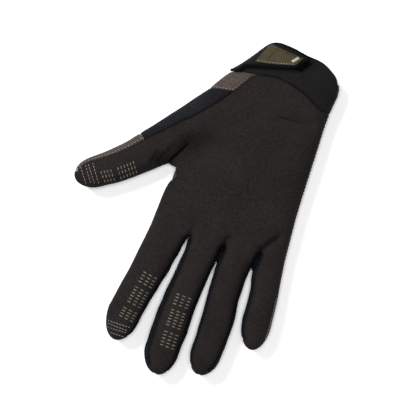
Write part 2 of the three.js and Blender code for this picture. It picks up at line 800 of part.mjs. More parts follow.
// Materials
const finish = {
  suede: { color: 0x2a2523, roughness: 0.95 },
  back: { color: 0x5c4c45, roughness: 0.9 },
  knit: { color: 0x1f222b, roughness: 0.9 },
  stretch: { color: 0x232327, roughness: 0.8 },
  padded: { color: 0x26262a, roughness: 0.6 },
  hook: { color: 0x101012, roughness: 0.95 },
  moulded: { color: 0x4d4a31, roughness: 0.5 },
  pale: { color: 0x9a9780, roughness: 0.45 },
};
const cloths = [
  { name: 'palm_panel', look: 'suede', wall: suede_wall },
  { name: 'back_panel', look: 'back', wall: back_wall },
  { name: 'thumb_side_panel', look: 'knit', wall: knit_wall },
  { name: 'fourchette_index_middle', look: 'knit', wall: knit_wall },
  { name: 'fourchette_middle_ring', look: 'knit', wall: knit_wall },
  { name: 'fourchette_ring_little', look: 'knit', wall: knit_wall },
  { name: 'cuff', look: 'stretch', wall: cuff_wall },
];
const pieces = [
  ...cloths.map((c) => ({ ...c, geometry: clothPiece(c.name, c.wall) })),
  { name: 'closure_tab', look: 'padded', geometry: tab },
  { name: 'hook_pad', look: 'hook', geometry: hook },
  { name: 'tab_patch', look: 'moulded', geometry: patch },
  { name: 'tab_bar', look: 'pale', geometry: bar },
];

// Frame: X and Y at the middle of the glove's box, Z at the floor
const box = new THREE.Box3();
for (const piece of pieces) {
  piece.geometry.computeBoundingBox();
  box.union(piece.geometry.boundingBox);
}
const centre = box.getCenter(new THREE.Vector3());
const glove = new THREE.Group();
glove.name = 'cycling_glove';
for (const piece of pieces) {
  piece.geometry.translate(-centre.x, -centre.y, -box.min.z);
  piece.geometry.computeVertexNormals();
  const material = new THREE.MeshStandardMaterial({ ...finish[piece.look], metalness: 0 });
  const mesh = new THREE.Mesh(piece.geometry, material);
  mesh.name = piece.name;
  glove.add(mesh);
}

export default glove;
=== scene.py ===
"""Looks of a right-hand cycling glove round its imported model. Lengths are in mm until a mesh is made."""
import logging
import math
from dataclasses import dataclass, field
from enum import Enum

import bpy
import numpy as np
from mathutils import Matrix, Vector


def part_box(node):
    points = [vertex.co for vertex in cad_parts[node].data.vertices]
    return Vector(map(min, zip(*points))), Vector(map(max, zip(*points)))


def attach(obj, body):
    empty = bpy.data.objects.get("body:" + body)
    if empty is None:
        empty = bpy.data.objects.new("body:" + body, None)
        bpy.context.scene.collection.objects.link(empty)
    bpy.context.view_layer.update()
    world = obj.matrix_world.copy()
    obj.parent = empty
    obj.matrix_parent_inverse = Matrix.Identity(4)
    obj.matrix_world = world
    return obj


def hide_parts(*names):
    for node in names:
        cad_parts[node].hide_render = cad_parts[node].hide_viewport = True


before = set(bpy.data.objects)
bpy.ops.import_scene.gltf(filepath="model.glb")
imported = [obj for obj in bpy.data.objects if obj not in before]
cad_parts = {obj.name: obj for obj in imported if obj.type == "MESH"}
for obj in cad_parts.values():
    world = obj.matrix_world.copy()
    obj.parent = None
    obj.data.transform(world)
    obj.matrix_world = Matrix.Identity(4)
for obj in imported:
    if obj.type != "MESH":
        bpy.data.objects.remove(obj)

log = logging.getLogger("glove")
Array = np.ndarray
Triple = tuple[float, float, float]
MM = 0.001
MERGES_PER_MM = 500
TUBE_END_SHARE = 0.3


class Side(Enum):
    """The two faces of the glove as it lies."""

    PALM = "top"
    BACK = "under"


# Form of the glove


@dataclass(frozen=True)
class Section:
    """A line across a digit, as shares of the digit's length and width."""

    along: float
    left: float
    right: float


@dataclass(frozen=True)
class Digit:
    """One finger or the thumb: root in shares of palm width and length, sizes in mm."""

    out: float
    up: float
    length: float
    width: float
    angle: float
    tip_quads: int
    tip_shift: float
    sections: tuple[Section, ...]


@dataclass(frozen=True)
class Fold:
    """A furrow between two plan points in shares of palm width and length, depth and spread in mm."""

    out: float
    up: float
    out2: float
    up2: float
    depth: float
    spread: float


@dataclass(frozen=True)
class Band:
    """A stretch of the outline: its quads and the insets of its seams at start and end, in mm."""

    name: str
    quads: int
    top: tuple[float, float]
    under: tuple[float, float]
    level: tuple[float, float] = (0.0, 0.0)


def sections(*rows: Triple) -> tuple[Section, ...]:
    """Makes sections from rows of along, left and right shares."""
    return tuple(Section(*row) for row in rows)


def smooth_line(points: Array, steps: int = 12) -> Array:
    """Centripetal Catmull-Rom curve: a cubic between each two points, tangents from their neighbours.

    Args:
        points: plan points, one a row.
        steps: samples between two points.

    Returns:
        The curve's samples.
    """
    p = np.vstack([2 * points[0] - points[1], points, 2 * points[-1] - points[-2]])
    step = np.linalg.norm(np.diff(p, axis=0), axis=1)[:, None] ** 0.5
    d0, d1, d2 = step[:-2], step[1:-1], step[2:]
    a, b, c, d = p[:-3], p[1:-2], p[2:-1], p[3:]
    t1 = ((b - a) / d0 - (c - a) / (d0 + d1) + (c - b) / d1) * d1
    t2 = ((c - b) / d1 - (d - b) / (d1 + d2) + (d - c) / d2) * d1
    t = (np.arange(steps) / steps)[None, :, None]
    c2, c3 = -3 * b + 3 * c - 2 * t1 - t2, 2 * b - 2 * c + t1 + t2
    line = b[:, None] + t1[:, None] * t + c2[:, None] * t**2 + c3[:, None] * t**3
    return np.vstack([line.reshape(-1, 2), points[-1:]])


def run_of(line: Array) -> Array:
    """Distance run along a line at each of its points."""
    return np.concatenate([[0.0], np.cumsum(np.linalg.norm(np.diff(line, axis=0), axis=1))])


def resample(line: Array, count: int) -> Array:
    """Points at equal runs along a line.

    Args:
        line: points, one a row.
        count: number of steps.

    Returns:
        count + 1 points.
    """
    run = run_of(line)
    at = np.linspace(0, run[-1], count + 1)
    return np.stack([np.interp(at, run, line[:, k]) for k in range(line.shape[1])], axis=1)


def split_at(line: Array, heights: list[float]) -> list[Array]:
    """Cuts a line that falls or rises steadily at given heights.

    Args:
        line: plan points.
        heights: Y values in the order in which the line meets them.

    Returns:
        The parts, one more than the heights.
    """
    run = run_of(line)
    order = np.argsort(line[:, 1], kind="stable")
    cuts = [0.0, *[float(np.interp(h, line[order, 1], run[order])) for h in heights], run[-1]]
    parts = []
    for low, high in zip(cuts, cuts[1:]):
        at = np.concatenate([[low], run[(run > low + 1e-6) & (run < high - 1e-6)], [high]])
        parts.append(np.stack([np.interp(at, run, line[:, k]) for k in range(2)], axis=1))
    return parts


def ease(v: Array) -> Array:
    """Smooth step: 3v squared less 2v cubed, v held to 0..1."""
    v = np.clip(v, 0, 1)
    return v * v * (3 - 2 * v)


def four_sided(bottom: Array, top: Array, left: Array, right: Array) -> Array:
    """Surface between four edge lines: ruled both ways less the bilinear patch of its corners.

    Args:
        bottom: edge from the left to the right corner at the start.
        top: edge across the far end.
        left: edge along the left side.
        right: edge along the right side.

    Returns:
        Grid of plan points, rows along the sides.
    """
    u = np.linspace(0, 1, len(bottom))[None, :, None]
    v = np.linspace(0, 1, len(left))[:, None, None]
    across = left[:, None] * (1 - u) + right[:, None] * u
    along = bottom[None] * (1 - v) + top[None] * v
    near = bottom[0] * (1 - u) + bottom[-1] * u
    far = top[0] * (1 - u) + top[-1] * u
    return across + along - near * (1 - v) - far * v


def cells_of(grid: Array) -> Array:
    """Four corners of each cell of a grid, in order round it."""
    return np.stack([grid[:-1, :-1], grid[:-1, 1:], grid[1:, 1:], grid[1:, :-1]], axis=2)


def joined(*lines: Array) -> Array:
    """Lines one after another, each shared end kept once."""
    return np.vstack([lines[0], *[line[1:] for line in lines[1:]]])


@dataclass
class GloveForm:
    """The soft outer form: plan outline, thickness over it, folds and flattened rest."""

    palm_width: float = 90.0
    palm_length: float = 110.0
    edge_radius: float = 10.7
    fill_limit: float = 12.0
    mid_height: float = 9.0
    finger_lift: float = 2.0
    thumb_lift: float = 4.0
    floor_softness: float = 0.8
    tip_corner: float = 48.0
    mouth_reach: float = 50.0
    fine: int = 6
    turn_steps: int = 7
    digits: dict[str, Digit] = field(default_factory=lambda: {
        "index": Digit(-0.206, -0.209, 78, 23.4, 270, 4, 0, sections(
            (0, -0.547, 0.543), (0.35, -0.671, 0.338), (0.55, -0.769, 0.2), (0.75, -0.87, 0.078))),
        "middle": Digit(0.066, -0.218, 89, 22.6, 270, 4, 0.05, sections(
            (0, -0.491, 0.509), (0.112, -0.496, 0.465), (0.292, -0.549, 0.412),
            (0.472, -0.606, 0.381), (0.652, -0.624, 0.394), (0.82, -0.606, 0.372))),
        "ring": Digit(0.329, -0.191, 83, 21.4, 270, 4, 0, sections(
            (0, -0.533, 0.528), (0.133, -0.556, 0.453), (0.349, -0.519, 0.463),
            (0.542, -0.449, 0.556), (0.795, -0.407, 0.542))),
        "little": Digit(0.567, -0.155, 60, 19, 270, 4, 0.09, sections(
            (0, -0.489, 0.421), (0.217, -0.5, 0.526), (0.417, -0.358, 0.632), (0.7, -0.284, 0.732))),
        "thumb": Digit(-0.448, 0.261, 62, 22.5, 220.5, 6, -0.04, sections(
            (0.032, -0.667, 0.52), (0.162, -0.604, 0.524), (0.356, -0.493, 0.538),
            (0.55, -0.436, 0.538), (0.744, -0.431, 0.48))),
    })
    thumb_side_line: tuple = (
        (0.03, 1.03), (-0.072, 0.9), (-0.148, 0.83), (-0.203, 0.78), (-0.294, 0.66), (-0.439, 0.5))
    index_side_line: tuple = ((-0.318, 0.159), (-0.317, 0.1), (-0.337, 0.03), (-0.343, -0.09))
    little_side_line: tuple = (
        (0.639, -0.02), (0.622, 0.13), (0.611, 0.31), (0.602, 0.5),
        (0.592, 0.7), (0.596, 0.8), (0.604, 0.89), (0.592, 0.945))
    palm_seam_line: tuple = ((0.17, 0.855), (0.36, 0.825), (0.52, 0.765))
    cuff_edge_line: tuple = ((0.27, 1.04), (0.42, 1.03), (0.505, 1.0), (0.555, 0.972))
    side_changes: tuple = (0.816, 0.672, 0.52, 0.278)
    cuff_seam_right: float = 0.761
    bands: tuple[Band, ...] = (
        Band("cuff_left", 4, (13, 15.3), (8, 9), (1, 1)),
        Band("wrist_brown", 2, (15.3, 15.4), (9, 9), (1, 1)),
        Band("wrist_navy", 2, (15.4, 9.6), (9, 6), (1, 0)),
        Band("thumb_navy", 5, (9.2, 5), (6, 5)),
        Band("thumb_brown", 5, (5, 1.9), (5, 3)),
        Band("thumb_tip", 6, (1.9, 2.6), (3, 3)),
        Band("thumb_inner", 10, (2.6, 3), (3, 3)),
        Band("index_side", 5, (3, 2.8), (3, 3)),
        Band("index_outer", 12, (2.8, 2.6), (3, 3)),
        Band("index_tip", 4, (2.6, 2.2), (3, 2.2)),
        Band("index_inner", 12, (1.3, 2), (2.2, 2.2)),
        Band("middle_left", 13, (2, 3.2), (2.2, 2.2)),
        Band("middle_tip", 4, (3.2, 2.4), (2.4, 2.4)),
        Band("middle_right", 13, (1.8, 2), (2.2, 2.2)),
        Band("ring_left", 13, (2, 1.2), (2.2, 2.2)),
        Band("ring_tip", 4, (1.6, 2.6), (2.4, 2.4)),
        Band("ring_right", 13, (2.6, 2), (2.2, 2.2)),
        Band("little_left", 10, (2, 1.2), (2.2, 2.2)),
        Band("little_tip", 4, (2, 2), (2.4, 2.4)),
        Band("little_outer", 10, (2, 2.4), (2.4, 2.6)),
        Band("little_side", 15, (2.4, 3), (2.6, 4)),
        Band("cuff_right", 4, (3, 1), (4, 1.4)),
    )
    folds: tuple[Fold, ...] = (
        Fold(-0.385, 0.175, -0.285, 0.33, 2.4, 5.0),
        Fold(-0.475, 0.165, -0.46, 0.175, 1.2, 4),
        Fold(-0.27, 0.24, -0.2, 0.3, 3.4, 11),
        Fold(0.26, 0.643, 0.49, 0.662, 1.1, 2.6),
        Fold(0.46, -0.14, 0.55, -0.025, 2, 2.6),
        Fold(0.2, -0.2, 0.212, -0.13, 2.2, 2.6),
        Fold(-0.06, -0.19, -0.045, -0.12, 1, 3),
    )
    creases: tuple[Fold, ...] = (
        Fold(-0.377, 0.185, -0.297, 0.31, 1.0, 1.7),
        Fold(-0.335, 0.183, -0.23, 0.309, 1.1, 2.0),
        Fold(-0.489, 0.131, -0.473, 0.199, 1.1, 1.5),
        Fold(-0.44, 0.16, -0.38, 0.27, 0.9, 2.2),
        Fold(-0.25, 0.33, -0.12, 0.36, 0.7, 5.0),
        Fold(0.462, -0.139, 0.549, -0.025, 1.1, 1.1),
        Fold(0.2, -0.21, 0.215, -0.13, 1.2, 1.2),
        Fold(-0.055, -0.2, -0.045, -0.12, 0.7, 1.4),
        Fold(0.26, 0.643, 0.49, 0.662, 0.6, 1.2),
        Fold(0.1, 0.71, 0.3, 0.73, 0.3, 3.0),
    )
    at: Array = field(init=False)
    into: Array = field(init=False)
    top: Array = field(init=False)
    under: Array = field(init=False)
    first: dict[str, int] = field(init=False)
    rim: Array = field(init=False)
    shift: Array = field(init=False)

    def __post_init__(self) -> None:
        """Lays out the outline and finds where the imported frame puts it."""
        self._lay_outline()
        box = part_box("palm_panel")
        x_shift = -(self.at[:, 0].min() + self.at[:, 0].max()) / 2
        self.shift = np.array([x_shift, box[0][1] / MM - self.at[:, 1].min(), 0.0])

    def plan(self, rows: tuple) -> Array:
        """Plan points of rows of out and up shares."""
        return np.array(rows, float) * (self.palm_width, self.palm_length)

    def digit_point(self, name: str, along: Array, side: Array) -> Array:
        """Plan point at a distance along a digit and to its right.

        Args:
            name: the digit.
            along: distances from the root.
            side: distances to the right of the axis.

        Returns:
            Plan points.
        """
        d = self.digits[name]
        a = math.radians(d.angle)
        along, side = np.broadcast_arrays(np.asarray(along, float), np.asarray(side, float))
        x = d.out * self.palm_width + math.cos(a) * along - math.sin(a) * side
        y = d.up * self.palm_length + math.sin(a) * along + math.cos(a) * side
        return np.stack([x, y], axis=-1)

    def _digit_lines(self, name: str) -> dict[str, Array]:
        """Sides and tip of a digit: the tip is half an ellipse cut at the corner angle.

        Args:
            name: the digit.

        Returns:
            Lines by name: left, left_arc, tip, right_arc and right.
        """
        d = self.digits[name]
        last = d.sections[-1]
        half = (last.right - last.left) / 2 * d.width
        centre = (last.right + last.left) / 2 * d.width
        reach = (1 - last.along) * d.length

        def arc(low: float, high: float) -> Array:
            """Points of the half ellipse between two angles."""
            t = np.radians(np.linspace(low, high, 25))
            side = centre - half * np.cos(t) + d.tip_shift * d.width * np.sin(t)
            return self.digit_point(name, last.along * d.length + reach * np.sin(t), side)

        along = np.array([s.along for s in d.sections]) * d.length
        left = self.digit_point(name, along, np.array([s.left for s in d.sections]) * d.width)
        right = self.digit_point(name, along, np.array([s.right for s in d.sections]) * d.width)
        c = self.tip_corner
        return {"left": left, "left_arc": arc(0, c), "tip": arc(c, 180 - c),
                "right_arc": arc(180 - c, 180), "right": right[::-1]}

    def _lay_outline(self) -> None:
        """Samples the outline counter-clockwise, with inward directions and seam insets."""
        lines = {name: self._digit_lines(name) for name in self.digits}

        def web(one: str, other: str) -> Array:
            """Top of the slot between two fingers."""
            a, b = lines[one]["right"][-1], lines[other]["left"][0]
            return np.array([[(a[0] + b[0]) / 2, max(a[1], b[1]) + 1.2]])

        webs = [web("index", "middle"), web("middle", "ring"), web("ring", "little")]
        side = self.plan(self.thumb_side_line)
        self.thumb_upper = smooth_line(np.vstack([side, lines["thumb"]["left"]]))
        cuff_left, brown, navy_wrist, navy, tip_brown = split_at(
            self.thumb_upper, [s * self.palm_length for s in self.side_changes])
        right_side = smooth_line(np.vstack([lines["little"]["right"][-1:], self.plan(self.little_side_line)]))
        little_side, cuff_right = split_at(right_side, [self.cuff_seam_right * self.palm_length])
        crotch = self.plan(self.index_side_line)[:1]

        def out(name: str) -> Array:
            """Left side of a digit, root to tip corner."""
            return joined(smooth_line(lines[name]["left"]), lines[name]["left_arc"])

        def back(name: str) -> Array:
            """Right side of a digit, tip corner to root."""
            return joined(lines[name]["right_arc"], smooth_line(lines[name]["right"]))

        index_side = np.vstack([self.plan(self.index_side_line), lines["index"]["left"][:1]])
        paths = {
            "cuff_left": cuff_left, "wrist_brown": brown, "wrist_navy": navy_wrist, "thumb_navy": navy,
            "thumb_brown": joined(tip_brown, lines["thumb"]["left_arc"]),
            "thumb_tip": lines["thumb"]["tip"], "thumb_inner": np.vstack([back("thumb"), crotch]),
            "index_side": smooth_line(index_side), "index_outer": out("index"),
            "index_tip": lines["index"]["tip"], "index_inner": np.vstack([back("index"), webs[0]]),
            "middle_left": np.vstack([webs[0], out("middle")]), "middle_tip": lines["middle"]["tip"],
            "middle_right": np.vstack([back("middle"), webs[1]]),
            "ring_left": np.vstack([webs[1], out("ring")]), "ring_tip": lines["ring"]["tip"],
            "ring_right": np.vstack([back("ring"), webs[2]]),
            "little_left": np.vstack([webs[2], out("little")]), "little_tip": lines["little"]["tip"],
            "little_outer": back("little"), "little_side": little_side, "cuff_right": cuff_right,
        }
        at, top, under, level, self.first = [], [], [], [], {}
        for band in self.bands:
            points = resample(paths[band.name], band.quads * self.fine)
            t = np.linspace(0, 1, len(points))
            rows = [points, *[low + (high - low) * t for low, high in (band.top, band.under, band.level)]]
            self.first[band.name] = len(at) and len(at) - 1
            for store, row in zip((at, top, under, level), rows):
                if store:
                    store[-1] = (store[-1] + row[0]) / 2
                    row = row[1:]
                store.extend(row)
        self.at, self.top, self.under = np.array(at), self._even(np.array(top)), self._even(np.array(under))
        ends = np.vstack([self.at[:1], self.at, self.at[-1:]])
        run = ends[2:] - ends[:-2]
        square = np.stack([-run[:, 1], run[:, 0]], axis=1) / np.linalg.norm(run, axis=1)[:, None]
        lie = np.array(level)[:, None]
        self.into = square * (1 - lie) + np.array([1.0, 0.15]) * lie
        for name in ("middle_left", "ring_left", "little_left"):
            self.into[self.first[name]] = (0.0, 1.0)
        mouth = (0, self.mouth_reach)
        self.rim = np.vstack([self.at, self.at[-1:] + mouth, self.at[:1] + mouth])

    @staticmethod
    def _even(values: Array) -> Array:
        """Values averaged with their neighbours, so that seam insets change softly."""
        padded = np.pad(values, 3, mode="edge")
        return np.convolve(padded, np.ones(7) / 7, mode="valid")

    def mean_distance(self, p: Array) -> Array:
        """Mean-value distance to the outline: 2 over the sum of (1/ra + 1/rb) tan(half the edge's angle).

        Args:
            p: plan points, one a row.

        Returns:
            A distance each, 0 on the outline.
        """
        result = np.empty(len(p))
        for start in range(0, len(p), 3000):
            q = p[start:start + 3000]
            a = self.rim[None] - q[:, None]
            b = np.roll(a, -1, axis=1)
            ra = np.maximum(np.hypot(a[..., 0], a[..., 1]), 1e-9)
            rb = np.roll(ra, -1, axis=1)
            cross = a[..., 0] * b[..., 1] - a[..., 1] * b[..., 0]
            dot = a[..., 0] * b[..., 0] + a[..., 1] * b[..., 1]
            flat = np.abs(cross) < 1e-9
            tangent = np.where(flat, 0, (ra * rb - dot) / np.where(flat, 1, cross))
            weight = ((1 / ra + 1 / rb) * tangent).sum(axis=1)
            result[start:start + 3000] = np.where(weight > 1e-9, 2 / np.maximum(weight, 1e-9), 0)
        return result

    def middle(self, p: Array) -> Array:
        """Height of the middle of the form: a base, a lift to the fingertips and one to the thumb's tip."""
        middle, thumb = self.digits["middle"], self.digits["thumb"]
        reach = np.clip((middle.up * self.palm_length - p[:, 1]) / middle.length, 0, 1)
        a = math.radians(thumb.angle)
        rel = p - (thumb.out * self.palm_width, thumb.up * self.palm_length)
        along = rel[:, 0] * math.cos(a) + rel[:, 1] * math.sin(a)
        side = rel[:, 1] * math.cos(a) - rel[:, 0] * math.sin(a)
        mask = 1 - ease((side - thumb.width / 2) / thumb.width)
        lift = np.clip(along / thumb.length, 0, 1) ** 2 * mask
        return self.mid_height + self.finger_lift * reach**2 + self.thumb_lift * lift

    def fold_depth(self, p: Array, folds: tuple[Fold, ...] | None = None) -> Array:
        """Sum of folds: each a Gaussian of the distance to its line.

        Args:
            p: plan points, one a row.
            folds: the folds, those of the form if none are given.

        Returns:
            A depth each.
        """
        depth = np.zeros(len(p))
        for f in self.folds if folds is None else folds:
            a, b = self.plan(((f.out, f.up), (f.out2, f.up2)))
            t = np.clip((p - a) @ (b - a) / ((b - a) @ (b - a)), 0, 1)
            off = np.linalg.norm(p - a - t[:, None] * (b - a), axis=1) / f.spread
            depth += f.depth * np.exp(-off * off)
        return depth

    def surface(self, p: Array, side: Side) -> Array:
        """Outer surface over plan points: middle plus or less half thickness, root of 2Rd / (1 + d / limit).

        Args:
            p: plan points, one a row.
            side: palm side or back.

        Returns:
            Points in space, folds cut into the palm side, the back soft on the floor.
        """
        d = self.mean_distance(p)
        half = np.sqrt(2 * self.edge_radius * d / (1 + d / self.fill_limit))
        mid = self.middle(p)
        if side is Side.PALM:
            z = mid + np.maximum(0, half - self.fold_depth(p) * np.minimum(1, half / 6))
        else:
            z = mid - half
            s = self.floor_softness
            z = np.where(z <= -s, 0, np.where(z >= s, z, (z + s) ** 2 / (4 * s)))
        return np.column_stack([p, z])

    def frames(self, p: Array) -> tuple[Array, Array]:
        """Palm-side points over plan points and their normals, from differences of the height.

        Args:
            p: plan points, one a row.

        Returns:
            Points and unit normals.
        """
        e = 0.1
        here = self.surface(p, Side.PALM)
        dx = self.surface(p + (e, 0), Side.PALM)[:, 2] - self.surface(p - (e, 0), Side.PALM)[:, 2]
        dy = self.surface(p + (0, e), Side.PALM)[:, 2] - self.surface(p - (0, e), Side.PALM)[:, 2]
        n = np.column_stack([-dx, -dy, np.full(len(p), 2 * e)])
        return here, n / np.linalg.norm(n, axis=1)[:, None]


# Skin of the glove, cut into its sewn pieces


@dataclass(frozen=True)
class Patch:
    """A grid of the skin: points, cloth coordinates, piece of each cell and outward directions."""

    points: Array
    cloth: Array
    label: Array
    facing: Array


def ripple(p: Array, size: float, seed: int) -> Array:
    """Seeded gentle unevenness: the mean of eight sine waves of about one size in all directions.

    Args:
        p: points, one a row.
        size: wave length.
        seed: number that fixes directions and phases.

    Returns:
        Values from about -1 to 1.
    """
    rng = np.random.default_rng(seed)
    k = rng.normal(size=(8, 3))
    k *= (2 * np.pi / size / rng.uniform(0.7, 1.5, 8) / np.linalg.norm(k, axis=1))[:, None]
    return np.sin(p @ k.T + rng.uniform(0, 2 * np.pi, 8)).mean(axis=1) * 1.6


PIECES = ("palm_panel", "back_panel", "thumb_side_panel", "fourchette_index_middle",
          "fourchette_middle_ring", "fourchette_ring_little", "cuff")
DIGIT_BANDS = {
    "thumb": (("thumb_navy", "thumb_brown"), "thumb_tip", "thumb_inner"),
    "index": (("index_outer",), "index_tip", "index_inner"),
    "middle": (("middle_left",), "middle_tip", "middle_right"),
    "ring": (("ring_left",), "ring_tip", "ring_right"),
    "little": (("little_left",), "little_tip", "little_outer"),
}


@dataclass
class Skin:
    """The whole outer skin as one net of cells, each cell belonging to one sewn piece."""

    form: GloveForm
    points: Array = field(init=False)
    normals: Array = field(init=False)
    cells: Array = field(init=False)
    cloth: Array = field(init=False)
    label: Array = field(init=False)

    def __post_init__(self) -> None:
        """Lays both halves and the band round the outline, then joins them."""
        patches = [*self._half(Side.PALM, "palm_panel"), *self._half(Side.BACK, "back_panel"), *self._band()]
        self._join(patches)

    def _inset(self, name: str, side: Side) -> Array:
        """Seam line of a band on one side of the glove."""
        f = self.form
        band = next(b for b in f.bands if b.name == name)
        part = slice(f.first[name], f.first[name] + band.quads * f.fine + 1)
        depth = f.top if side is Side.PALM else f.under
        return f.at[part] + f.into[part] * depth[part, None]

    def _grid(self, plan: Array, label: str, side: Side) -> Patch:
        """A patch of the surface over a grid of plan points."""
        n, m = plan.shape[:2]
        points = self.form.surface(plan.reshape(-1, 2), side).reshape(n, m, 3)
        up = 1.0 if side is Side.PALM else -1.0
        facing = np.broadcast_to(np.array([0, 0, up]), (n - 1, m - 1, 3))
        return Patch(points, plan, np.full((n - 1, m - 1), PIECES.index(label)), facing)

    def _half(self, side: Side, label: str) -> list[Patch]:
        """Grids of digits, palm and cuff on one side.

        Args:
            side: palm side or back.
            label: the piece that digits and palm belong to.

        Returns:
            The patches.
        """
        f, patches, roots = self.form, [], {}
        for name, (lefts, tip, right) in DIGIT_BANDS.items():
            left = joined(*[self._inset(b, side) for b in lefts])
            far = self._inset(right, side)[::-1]
            t = np.linspace(0, 1, f.digits[name].tip_quads * f.fine + 1)[:, None]
            roots[name] = left[0] * (1 - t) + far[0] * t
            plan = four_sided(roots[name], self._inset(tip, side), left, far)
            patches.append(self._grid(plan, label, side))
        bottom = joined(roots["index"], roots["middle"], roots["ring"], roots["little"])
        wrist = joined(self._inset("wrist_brown", side), self._inset("wrist_navy", side))
        left = joined(self._inset("index_side", side)[::-1], roots["thumb"][::-1], wrist[::-1])
        right = self._inset("little_side", side)
        if side is Side.PALM:
            seam = smooth_line(np.vstack([left[-1:], f.plan(f.palm_seam_line), right[-1:]]))
            seam = resample(seam, len(bottom) - 1)
        else:
            t = np.linspace(0, 1, len(bottom))[:, None]
            seam = left[-1] * (1 - t) + right[-1] * t
        patches.append(self._grid(four_sided(bottom, seam, left, right), label, side))
        cuff_left, cuff_right = self._inset("cuff_left", side)[::-1], self._inset("cuff_right", side)
        edge = np.vstack([cuff_left[-1:], f.plan(f.cuff_edge_line), cuff_right[-1:]])
        edge = resample(smooth_line(edge), len(bottom) - 1)
        patches.append(self._grid(four_sided(seam, edge, cuff_left, cuff_right), "cuff", side))
        return patches

    def _band(self) -> list[Patch]:
        """The band that turns round the outline: inset times one less the sine of the turn.

        Returns:
            One patch for each stretch of the outline.
        """
        f, steps = self.form, self.form.turn_steps
        share = 1 - np.sin(np.linspace(0, np.pi / 2, steps + 1))[:-1]
        count = len(f.at)

        def half(depth: Array, side: Side) -> Array:
            """Points of the turn on one side, from the seam to beside the outline."""
            p = f.at[:, None] + f.into[:, None] * depth[:, None, None] * share[None, :, None]
            return f.surface(p.reshape(-1, 2), side).reshape(count, steps, 3)

        edge = np.column_stack([f.at, f.middle(f.at)])[:, None]
        net = np.concatenate([half(f.top, Side.PALM), edge, half(f.under, Side.BACK)[:, ::-1]], axis=1)
        across = np.cumsum(np.linalg.norm(np.diff(net, axis=1, prepend=net[:, :1]), axis=2), axis=1)
        run = run_of(f.at)[:, None]
        cloth = np.stack([np.broadcast_to(run, across.shape), across - across[:, steps:steps + 1]], axis=2)
        patches = []
        for band in f.bands:
            part = slice(f.first[band.name], f.first[band.name] + band.quads * f.fine + 1)
            rows, cols = band.quads * f.fine, 2 * steps
            along = np.arange(rows)[:, None] / f.fine * np.ones((1, cols))
            turned = np.arange(cols)[None] / steps * 2 * np.ones((rows, 1))
            label = self._band_piece(band.name, along, turned)
            out = -(f.into[part][:-1] + f.into[part][1:])[:, None]
            up = np.where(np.arange(cols) < steps, 1.0, -1.0)[None, :, None]
            facing = np.concatenate([np.broadcast_to(out, (rows, cols, 2)),
                                     np.broadcast_to(up, (rows, cols, 1))], axis=2)
            patches.append(Patch(net[part], cloth[part], label, facing))
        return patches

    @staticmethod
    def _band_piece(name: str, along: Array, turned: Array) -> Array:
        """Piece of each cell of a band.

        Args:
            name: the band.
            along: quads from its start.
            turned: quarter turns from the palm side, 0 to 4.

        Returns:
            Piece numbers.
        """
        number = PIECES.index
        palm, brown = number("palm_panel"), number("back_panel")
        plain = {
            "cuff_left": "cuff", "cuff_right": "cuff", "wrist_brown": "back_panel",
            "wrist_navy": "thumb_side_panel", "thumb_navy": "thumb_side_panel", "thumb_brown": "back_panel",
            "index_inner": "fourchette_index_middle", "middle_left": "fourchette_index_middle",
            "middle_right": "fourchette_middle_ring", "ring_left": "fourchette_middle_ring",
            "ring_right": "fourchette_ring_little", "little_left": "fourchette_ring_little",
        }
        if name in plain:
            return np.full(along.shape, number(plain[name]))
        if name == "thumb_tip":
            return np.where(along < 1, brown, palm)
        if name == "index_side":
            return np.where((along < 1) & (turned >= 3.4 * np.abs(along - 0.58)), brown, palm)
        if name == "middle_tip":
            return np.where((along < 2) & (turned >= 1), number("fourchette_index_middle"), palm)
        if name == "ring_tip":
            return np.where((along >= 2) & (turned >= 1), number("fourchette_ring_little"), palm)
        if name in ("little_outer", "little_side"):
            return np.where(turned < 2, palm, brown)
        return np.full(along.shape, palm)

    def _join(self, patches: list[Patch]) -> None:
        """Merges the patches' points, turns every cell outwards and works out normals.

        Args:
            patches: all grids of the skin.
        """
        points = np.vstack([p.points.reshape(-1, 3) for p in patches])
        keys = np.round(points * MERGES_PER_MM).astype(np.int64)
        _, firsts, ids = np.unique(keys, axis=0, return_index=True, return_inverse=True)
        ids = ids.reshape(-1)
        self.points = points[firsts]
        start, cells, cloth, facing = 0, [], [], []
        for p in patches:
            n, m = p.points.shape[:2]
            net = ids[start:start + n * m].reshape(n, m)
            start += n * m
            cells.append(cells_of(net).reshape(-1, 4))
            cloth.append(cells_of(p.cloth).reshape(-1, 4, 2))
            facing.append(p.facing.reshape(-1, 3))
        self.cells, self.cloth = np.vstack(cells), np.vstack(cloth)
        self.label = np.concatenate([p.label.reshape(-1) for p in patches])
        a, b, c, d = (self.points[self.cells[:, k]] for k in range(4))
        normal = np.cross(c - a, d - b)
        wrong = (normal * np.vstack(facing)).sum(axis=1) < 0
        self.cells[wrong] = self.cells[wrong][:, ::-1]
        self.cloth[wrong] = self.cloth[wrong][:, ::-1]
        normal[wrong] *= -1
        self.normals = np.zeros_like(self.points)
        for k in range(4):
            np.add.at(self.normals, self.cells[:, k], normal)
        self.normals /= np.maximum(np.linalg.norm(self.normals, axis=1), 1e-12)[:, None]


@dataclass(frozen=True)
class Cut:
    """One sewn piece of the skin: its own points, cells and cloth coordinates, with its free edges."""

    points: Array
    normals: Array
    cells: Array
    cloth: Array
    edges: Array
    to_edge: Array


